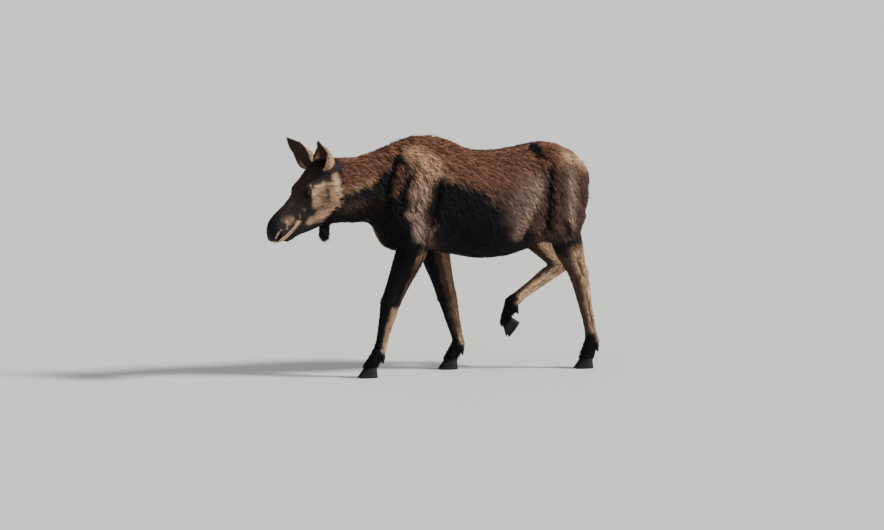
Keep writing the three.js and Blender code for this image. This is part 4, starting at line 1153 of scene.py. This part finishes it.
def hair_material(name, roughness, sheen, bump, bare=False):
    """A coat's material, coloured by the marks and painted light kept on the mesh, with streaks of fine hair."""
    if name in bpy.data.materials:
        return bpy.data.materials[name]
    material = bpy.data.materials.new(name)
    material.use_nodes = True
    tree = material.node_tree
    shader = tree.nodes["Principled BSDF"]
    shader.inputs["Roughness"].default_value = roughness
    shader.inputs["Sheen Weight"].default_value = sheen
    shader.inputs["Sheen Roughness"].default_value = 0.45
    shader.inputs["Specular IOR Level"].default_value = 0.15
    markings_and_painted_light = node(tree, "ShaderNodeAttribute", attribute_name="coat_colour")
    grain = node(tree, "ShaderNodeGroup", node_tree=grain_group())
    tint = node(tree, "ShaderNodeGroup", node_tree=tint_group())
    raised = node(tree, "ShaderNodeBump")
    raised.inputs["Strength"].default_value = bump
    raised.inputs["Distance"].default_value = 0.002
    tint.inputs["Amount"].default_value = 1.1 if bare else 0.6
    joined(
        tree,
        (markings_and_painted_light.outputs["Color"], tint.inputs["Color"]),
        (grain.outputs["Value"], tint.inputs["Value"]),
        (tint.outputs["Color"], shader.inputs["Base Color"]),
        (grain.outputs["Value"], raised.inputs["Height"]),
        (raised.outputs["Normal"], shader.inputs["Normal"]),
    )
    return material


def coat_material(slot):
    return hair_material("Tufts of the " + slot.replace("_", " "), 0.56, 0.02, 0.15)


def horn_material(shade):
    """Dark horn with growth lines that run round the hoof."""
    material = bpy.data.materials.new("Horn")
    material.use_nodes = True
    tree = material.node_tree
    shader = tree.nodes["Principled BSDF"]
    shader.inputs["Roughness"].default_value = 0.55
    shader.inputs["Specular IOR Level"].default_value = 0.30
    growth = node(tree, "ShaderNodeAttribute", attribute_name="growth")
    grain = node(tree, "ShaderNodeGroup", node_tree=grain_group())
    grain.inputs["Scale"].default_value = 180.0
    grain.inputs["Stretch"].default_value = 0.3
    tint = node(tree, "ShaderNodeGroup", node_tree=tint_group())
    tint.inputs["Amount"].default_value = 1.2
    tint.inputs["Color"].default_value = (*shade, 1.0)
    turns = node(tree, "ShaderNodeMath", operation="MULTIPLY")
    turns.inputs[1].default_value = 2 * math.pi / 0.0055
    lines = node(tree, "ShaderNodeMath", operation="SINE")
    mixed = node(tree, "ShaderNodeMath", operation="MULTIPLY_ADD")
    mixed.inputs[1].default_value = 0.5
    raised = node(tree, "ShaderNodeBump")
    raised.inputs["Strength"].default_value = 0.45
    raised.inputs["Distance"].default_value = 0.0012
    joined(
        tree,
        (grain.outputs["Value"], tint.inputs["Value"]),
        (tint.outputs["Color"], shader.inputs["Base Color"]),
        (growth.outputs["Fac"], turns.inputs[0]),
        (turns.outputs[0], lines.inputs[0]),
        (lines.outputs[0], mixed.inputs[0]),
        (grain.outputs["Value"], mixed.inputs[2]),
        (mixed.outputs[0], raised.inputs["Height"]),
        (raised.outputs["Normal"], shader.inputs["Normal"]),
    )
    return material


def eye_material():
    """A wet, dark eye, coloured by the ring and slit kept on the ball."""
    material = bpy.data.materials.new("Wet eye")
    material.use_nodes = True
    tree = material.node_tree
    shader = tree.nodes["Principled BSDF"]
    shader.inputs["Roughness"].default_value = 0.18
    shader.inputs["Specular IOR Level"].default_value = 0.20
    shader.inputs["Coat Weight"].default_value = 0.35
    shader.inputs["Coat Roughness"].default_value = 0.04
    ball = node(tree, "ShaderNodeAttribute", attribute_name="eye_colour")
    joined(tree, (ball.outputs["Color"], shader.inputs["Base Color"]))
    return material


def floor_material(shade):
    material = bpy.data.materials.new("Pale floor")
    material.use_nodes = True
    tree = material.node_tree
    shader = tree.nodes["Principled BSDF"]
    shader.inputs["Roughness"].default_value = 0.8
    cloud = node(tree, "ShaderNodeTexNoise")
    cloud.inputs["Scale"].default_value = 0.7
    where = node(tree, "ShaderNodeTexCoord")
    tint = node(tree, "ShaderNodeGroup", node_tree=tint_group())
    tint.inputs["Color"].default_value = (*shade, 1.0)
    tint.inputs["Amount"].default_value = 0.06
    joined(
        tree,
        (where.outputs["Object"], cloud.inputs["Vector"]),
        (cloud.outputs["Fac"], tint.inputs["Value"]),
        (tint.outputs["Color"], shader.inputs["Base Color"]),
    )
    return material


# ------------------------------------------------------------------------------------------ operators

VIEW = {"azimuth": -20.0, "elevation": 6.0, "away": 40.0, "lens": 237.0}
AIM = (-0.2612, 0.7230)  # right and up from the ground under the trunk, as the camera sees them


class MOOSE_OT_stage(bpy.types.Operator):
    """Sets up the camera, a plain pale floor and soft light"""

    bl_idname = "moose.stage"
    bl_label = "Stage"

    def execute(self, context):
        stage = context.scene.moose_stage
        self.camera(context)
        bm = bmesh.new()
        bmesh.ops.create_grid(bm, x_segments=8, y_segments=8, size=stage.floor)
        mesh = bpy.data.meshes.new("floor")
        bm.to_mesh(mesh)
        bm.free()
        floor = new_object("floor", mesh)
        floor.data.materials.append(floor_material(stage.floor_colour))
        self.lights(context, stage)
        return {"FINISHED"}

    @staticmethod
    def camera(context):
        azimuth, elevation = math.radians(VIEW["azimuth"]), math.radians(VIEW["elevation"])
        back = Vector(
            (math.sin(azimuth) * math.cos(elevation), -math.cos(azimuth) * math.cos(elevation), math.sin(elevation))
        )
        turn = back.to_track_quat("Z", "Y")
        right, up = turn @ Vector((1, 0, 0)), turn @ Vector((0, 1, 0))
        ground = Vector((MIDDLE_FORWARD, 0, 0))
        data = bpy.data.cameras.new("camera")
        data.lens = VIEW["lens"]
        data.clip_end = 1000.0
        camera = bpy.data.objects.new("camera", data)
        context.scene.collection.objects.link(camera)
        camera.rotation_mode = "QUATERNION"
        camera.rotation_quaternion = turn
        camera.location = ground + right * AIM[0] + up * AIM[1] + back * VIEW["away"]
        context.scene.camera = camera

    @staticmethod
    def lights(context, stage):
        for name, strength, softness, direction in (
            ("key", stage.key, 10.0, (0.70, -0.34, 0.63)),
            ("fill", stage.fill, 60.0, (-0.75, -0.50, 0.55)),
        ):
            data = bpy.data.lights.new(name, "SUN")
            data.energy = strength
            data.angle = math.radians(softness)
            light = bpy.data.objects.new(name, data)
            light.rotation_mode = "QUATERNION"
            light.rotation_quaternion = Vector(direction).to_track_quat("Z", "Y")
            context.scene.collection.objects.link(light)
        world = bpy.data.worlds.new("room")
        world.use_nodes = True
        background = world.node_tree.nodes["Background"]
        background.inputs["Color"].default_value = (0.93, 0.96, 1.0, 1.0)
        background.inputs["Strength"].default_value = stage.sky
        context.scene.world = world


class MOOSE_OT_skin(bpy.types.Operator):
    """Makes the skin and keeps on it the coat's lie, sizes and colours"""

    bl_idname = "moose.skin"
    bl_label = "Skin"

    def execute(self, context):
        scene = context.scene
        skin = make_skin(scene.moose_skin)
        places, corners, edges = arrays_of(skin.data)
        places = turned(places)
        anatomy = Anatomy(places)
        normals = normals_of(places, corners)
        keep(skin.data, "lie", lie_of(anatomy, normals, edges))
        keep(skin.data, "hair", hair_sizes(anatomy, normals, edges, scene.moose_coat))
        shown = colours_of(anatomy, normals, edges, scene.moose_colours)
        keep(skin.data, "coat_colour", np.concatenate((shown, np.ones((len(shown), 1))), 1))
        keep(skin.data, "part", anatomy.node.astype(float))
        skin.data.polygons.foreach_set("use_smooth", np.ones(len(skin.data.polygons), bool))
        skin.data.materials.append(hair_material("Skin", 0.6, 0.03, 0.6, bare=True))
        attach(skin, "root")
        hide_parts(*FLESH)
        return {"FINISHED"}


def skin_parts():
    """The skin, the flesh node of each of its triangles, and their middles."""
    skin = bpy.data.objects["skin"]
    places, corners, _ = arrays_of(skin.data)
    part = kept(skin.data, "part", 1).round().astype(int)[corners[:, 0]]
    return skin, part, turned(places)[corners].mean(1)


def among(part, *words):
    return np.isin(part, [i for i, name in enumerate(FLESH) if any(word in name for word in words)])


TRUNK_BANDS = {"shoulders": (0.34, 9.0), "ribs": (0.00, 0.34), "loins": (-0.34, 0.00), "haunches": (-9.0, -0.34)}


class MOOSE_OT_body_coat(bpy.types.Operator):
    """Grows the coat of the trunk, the neck, the tail and the bell"""

    bl_idname = "moose.body_coat"
    bl_label = "Coat of the body"

    def execute(self, context):
        coat = context.scene.moose_coat
        skin, part, middles = skin_parts()
        for side, on_side in (("left", middles[:, 1] >= 0), ("right", middles[:, 1] < 0)):
            for band, (low, high) in TRUNK_BANDS.items():
                here = among(part, "trunk") & on_side & (middles[:, 0] >= low) & (middles[:, 0] < high)
                grow(skin, f"coat_{band}_{side}", "trunk", here, LONG_TUFT, "coat_brown", coat)
            grow(skin, f"coat_neck_{side}", "neck", among(part, "neck") & on_side, LONG_TUFT, "coat_brown", coat)
        grow(skin, "coat_tail", "tail", among(part, "tail"), LONG_TUFT, "coat_brown", coat)
        grow(skin, "coat_bell", "bell", among(part, "bell"), LONG_TUFT, "coat_dark", coat)
        return {"FINISHED"}


class MOOSE_OT_head_coat(bpy.types.Operator):
    """Grows the short coat of the face and the ears"""

    bl_idname = "moose.head_coat"
    bl_label = "Coat of the head"

    def execute(self, context):
        coat = context.scene.moose_coat
        skin, part, middles = skin_parts()
        side = on_head(middles)[:, 1]
        head = among(part, "head", "jaw")
        grow(skin, "coat_head_left", "head", head & (side >= 0), SHORT_TUFT, "coat_dark", coat)
        grow(skin, "coat_head_right", "head", head & (side < 0), SHORT_TUFT, "coat_dark", coat)
        for name in EARS:
            grow(skin, "coat_" + name, name, among(part, name), SHORT_TUFT, "coat_tan", coat)
        return {"FINISHED"}


class MOOSE_OT_leg_coat(bpy.types.Operator):
    """Grows the short coat of the four legs"""

    bl_idname = "moose.leg_coat"
    bl_label = "Coat of the legs"

    def execute(self, context):
        coat = context.scene.moose_coat
        skin, part, _ = skin_parts()
        for name in LIMBS:
            grow(skin, "coat_" + name, name, among(part, name), SHORT_TUFT, "coat_dark", coat)
        return {"FINISHED"}


class MOOSE_OT_eyes(bpy.types.Operator):
    """Makes the two wet eyes, each with a broad dark pupil"""

    bl_idname = "moose.eyes"
    bl_label = "Eyes"

    def execute(self, context):
        iris = np.asarray(context.scene.moose_colours.iris)
        material = eye_material()
        for name, side in zip(EYES, (1, -1)):
            low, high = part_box(name)
            centre = (low + high) / 2
            bm = bmesh.new()
            bmesh.ops.create_uvsphere(bm, u_segments=64, v_segments=40, radius=EYE_RADIUS - 0.0004)
            outward = Vector(turned((HEAD_LEFT * side)[None])[0] - turned(np.zeros((1, 3)))[0])
            turn = outward.to_track_quat("Z", "Y")
            bmesh.ops.rotate(bm, verts=bm.verts, matrix=turn.to_matrix())
            bmesh.ops.translate(bm, verts=bm.verts, vec=centre)
            mesh = bpy.data.meshes.new("moose_" + name)
            bm.to_mesh(mesh)
            bm.free()
            places, _, _ = arrays_of(mesh)
            head = on_head(turned(places)) - EYE * (1, side, 1)
            slit = np.hypot(head[:, 0] / 0.0062, head[:, 2] / 0.0038)
            ring = np.hypot(head[:, 0], head[:, 2]) / 0.0125
            shade = np.tile(iris, (len(head), 1))
            shade = painted(shade, smoothstep(1.25, 0.95, slit), (0.002, 0.002, 0.002))
            shade = painted(shade, smoothstep(0.90, 1.0, ring) * 0.8, (0.004, 0.003, 0.002))
            shade = painted(shade, smoothstep(1.10, 1.25, ring), srgb(34, 24, 21))
            keep(mesh, "eye_colour", np.concatenate((shade, np.ones((len(shade), 1))), 1))
            mesh.polygons.foreach_set("use_smooth", np.ones(len(mesh.polygons), bool))
            ball = new_object("moose_" + name, mesh)
            ball.data.materials.append(material)
            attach(ball, "root")
            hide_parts(name)
        return {"FINISHED"}


class MOOSE_OT_hooves(bpy.types.Operator):
    """Makes the claws and dewclaws of the four feet in rounded horn"""

    bl_idname = "moose.hooves"
    bl_label = "Hooves"

    def execute(self, context):
        material = horn_material(context.scene.moose_colours.horn)
        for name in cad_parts:
            if "claw" in name:
                self.horn(name, material)
        return {"FINISHED"}

    @staticmethod
    def horn(name, material):
        bm = bmesh.new()
        bm.from_mesh(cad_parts[name].data)
        bmesh.ops.remove_doubles(bm, verts=bm.verts, dist=1e-5)
        bmesh.ops.recalc_face_normals(bm, faces=bm.faces)
        bmesh.ops.join_triangles(
            bm, faces=bm.faces, angle_face_threshold=math.radians(25), angle_shape_threshold=math.radians(50)
        )
        crease = bm.edges.layers.float.new("crease_edge")
        for edge in bm.edges:
            if len(edge.link_faces) == 2 and edge.calc_face_angle(0) > math.radians(50):
                edge[crease] = 0.85
        mesh = bpy.data.meshes.new("horn_" + name)
        bm.to_mesh(mesh)
        bm.free()
        piece = new_object("horn_" + name, mesh)
        rounded = piece.modifiers.new("rounded", "SUBSURF")
        rounded.levels = rounded.render_levels = 2
        applied(piece)
        limb = next(limb for limb in LIMBS if name.startswith(limb))
        pitch = math.radians(52) if limb == "hind_right" else 0.0
        down = np.array((math.sin(-pitch), 0.0, -math.cos(pitch)))
        places, _, _ = arrays_of(piece.data)
        keep(piece.data, "growth", turned(places) @ down)
        piece.data.polygons.foreach_set("use_smooth", np.ones(len(piece.data.polygons), bool))
        piece.data.materials.append(material)
        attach(piece, "root")
        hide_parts(name)


OPERATORS = (
    MOOSE_OT_stage,
    MOOSE_OT_skin,
    MOOSE_OT_eyes,
    MOOSE_OT_hooves,
    MOOSE_OT_body_coat,
    MOOSE_OT_head_coat,
    MOOSE_OT_leg_coat,
)


class MOOSE_PT_panel(bpy.types.Panel):
    """Lists the moose's pieces in the order that they are made"""

    bl_idname = "MOOSE_PT_panel"
    bl_label = "Moose"
    bl_space_type = "VIEW_3D"
    bl_region_type = "UI"
    bl_category = "Moose"

    def draw(self, context):
        for operator in OPERATORS:
            self.layout.operator(operator.bl_idname)


SETTINGS = {"skin": MooseSkin, "coat": MooseCoat, "colours": MooseColours, "stage": MooseStage}
CLASSES = (*SETTINGS.values(), *OPERATORS, MOOSE_PT_panel)


def register():
    for made in CLASSES:
        bpy.utils.register_class(made)
    for name, settings in SETTINGS.items():
        setattr(bpy.types.Scene, "moose_" + name, PointerProperty(type=settings))


def unregister():
    for name in SETTINGS:
        delattr(bpy.types.Scene, "moose_" + name)
    for made in reversed(CLASSES):
        bpy.utils.unregister_class(made)


def main():
    register()
    for operator in OPERATORS:
        group, name = operator.bl_idname.split(".")
        getattr(getattr(bpy.ops, group), name)()


if __name__ == "__main__":
    main()
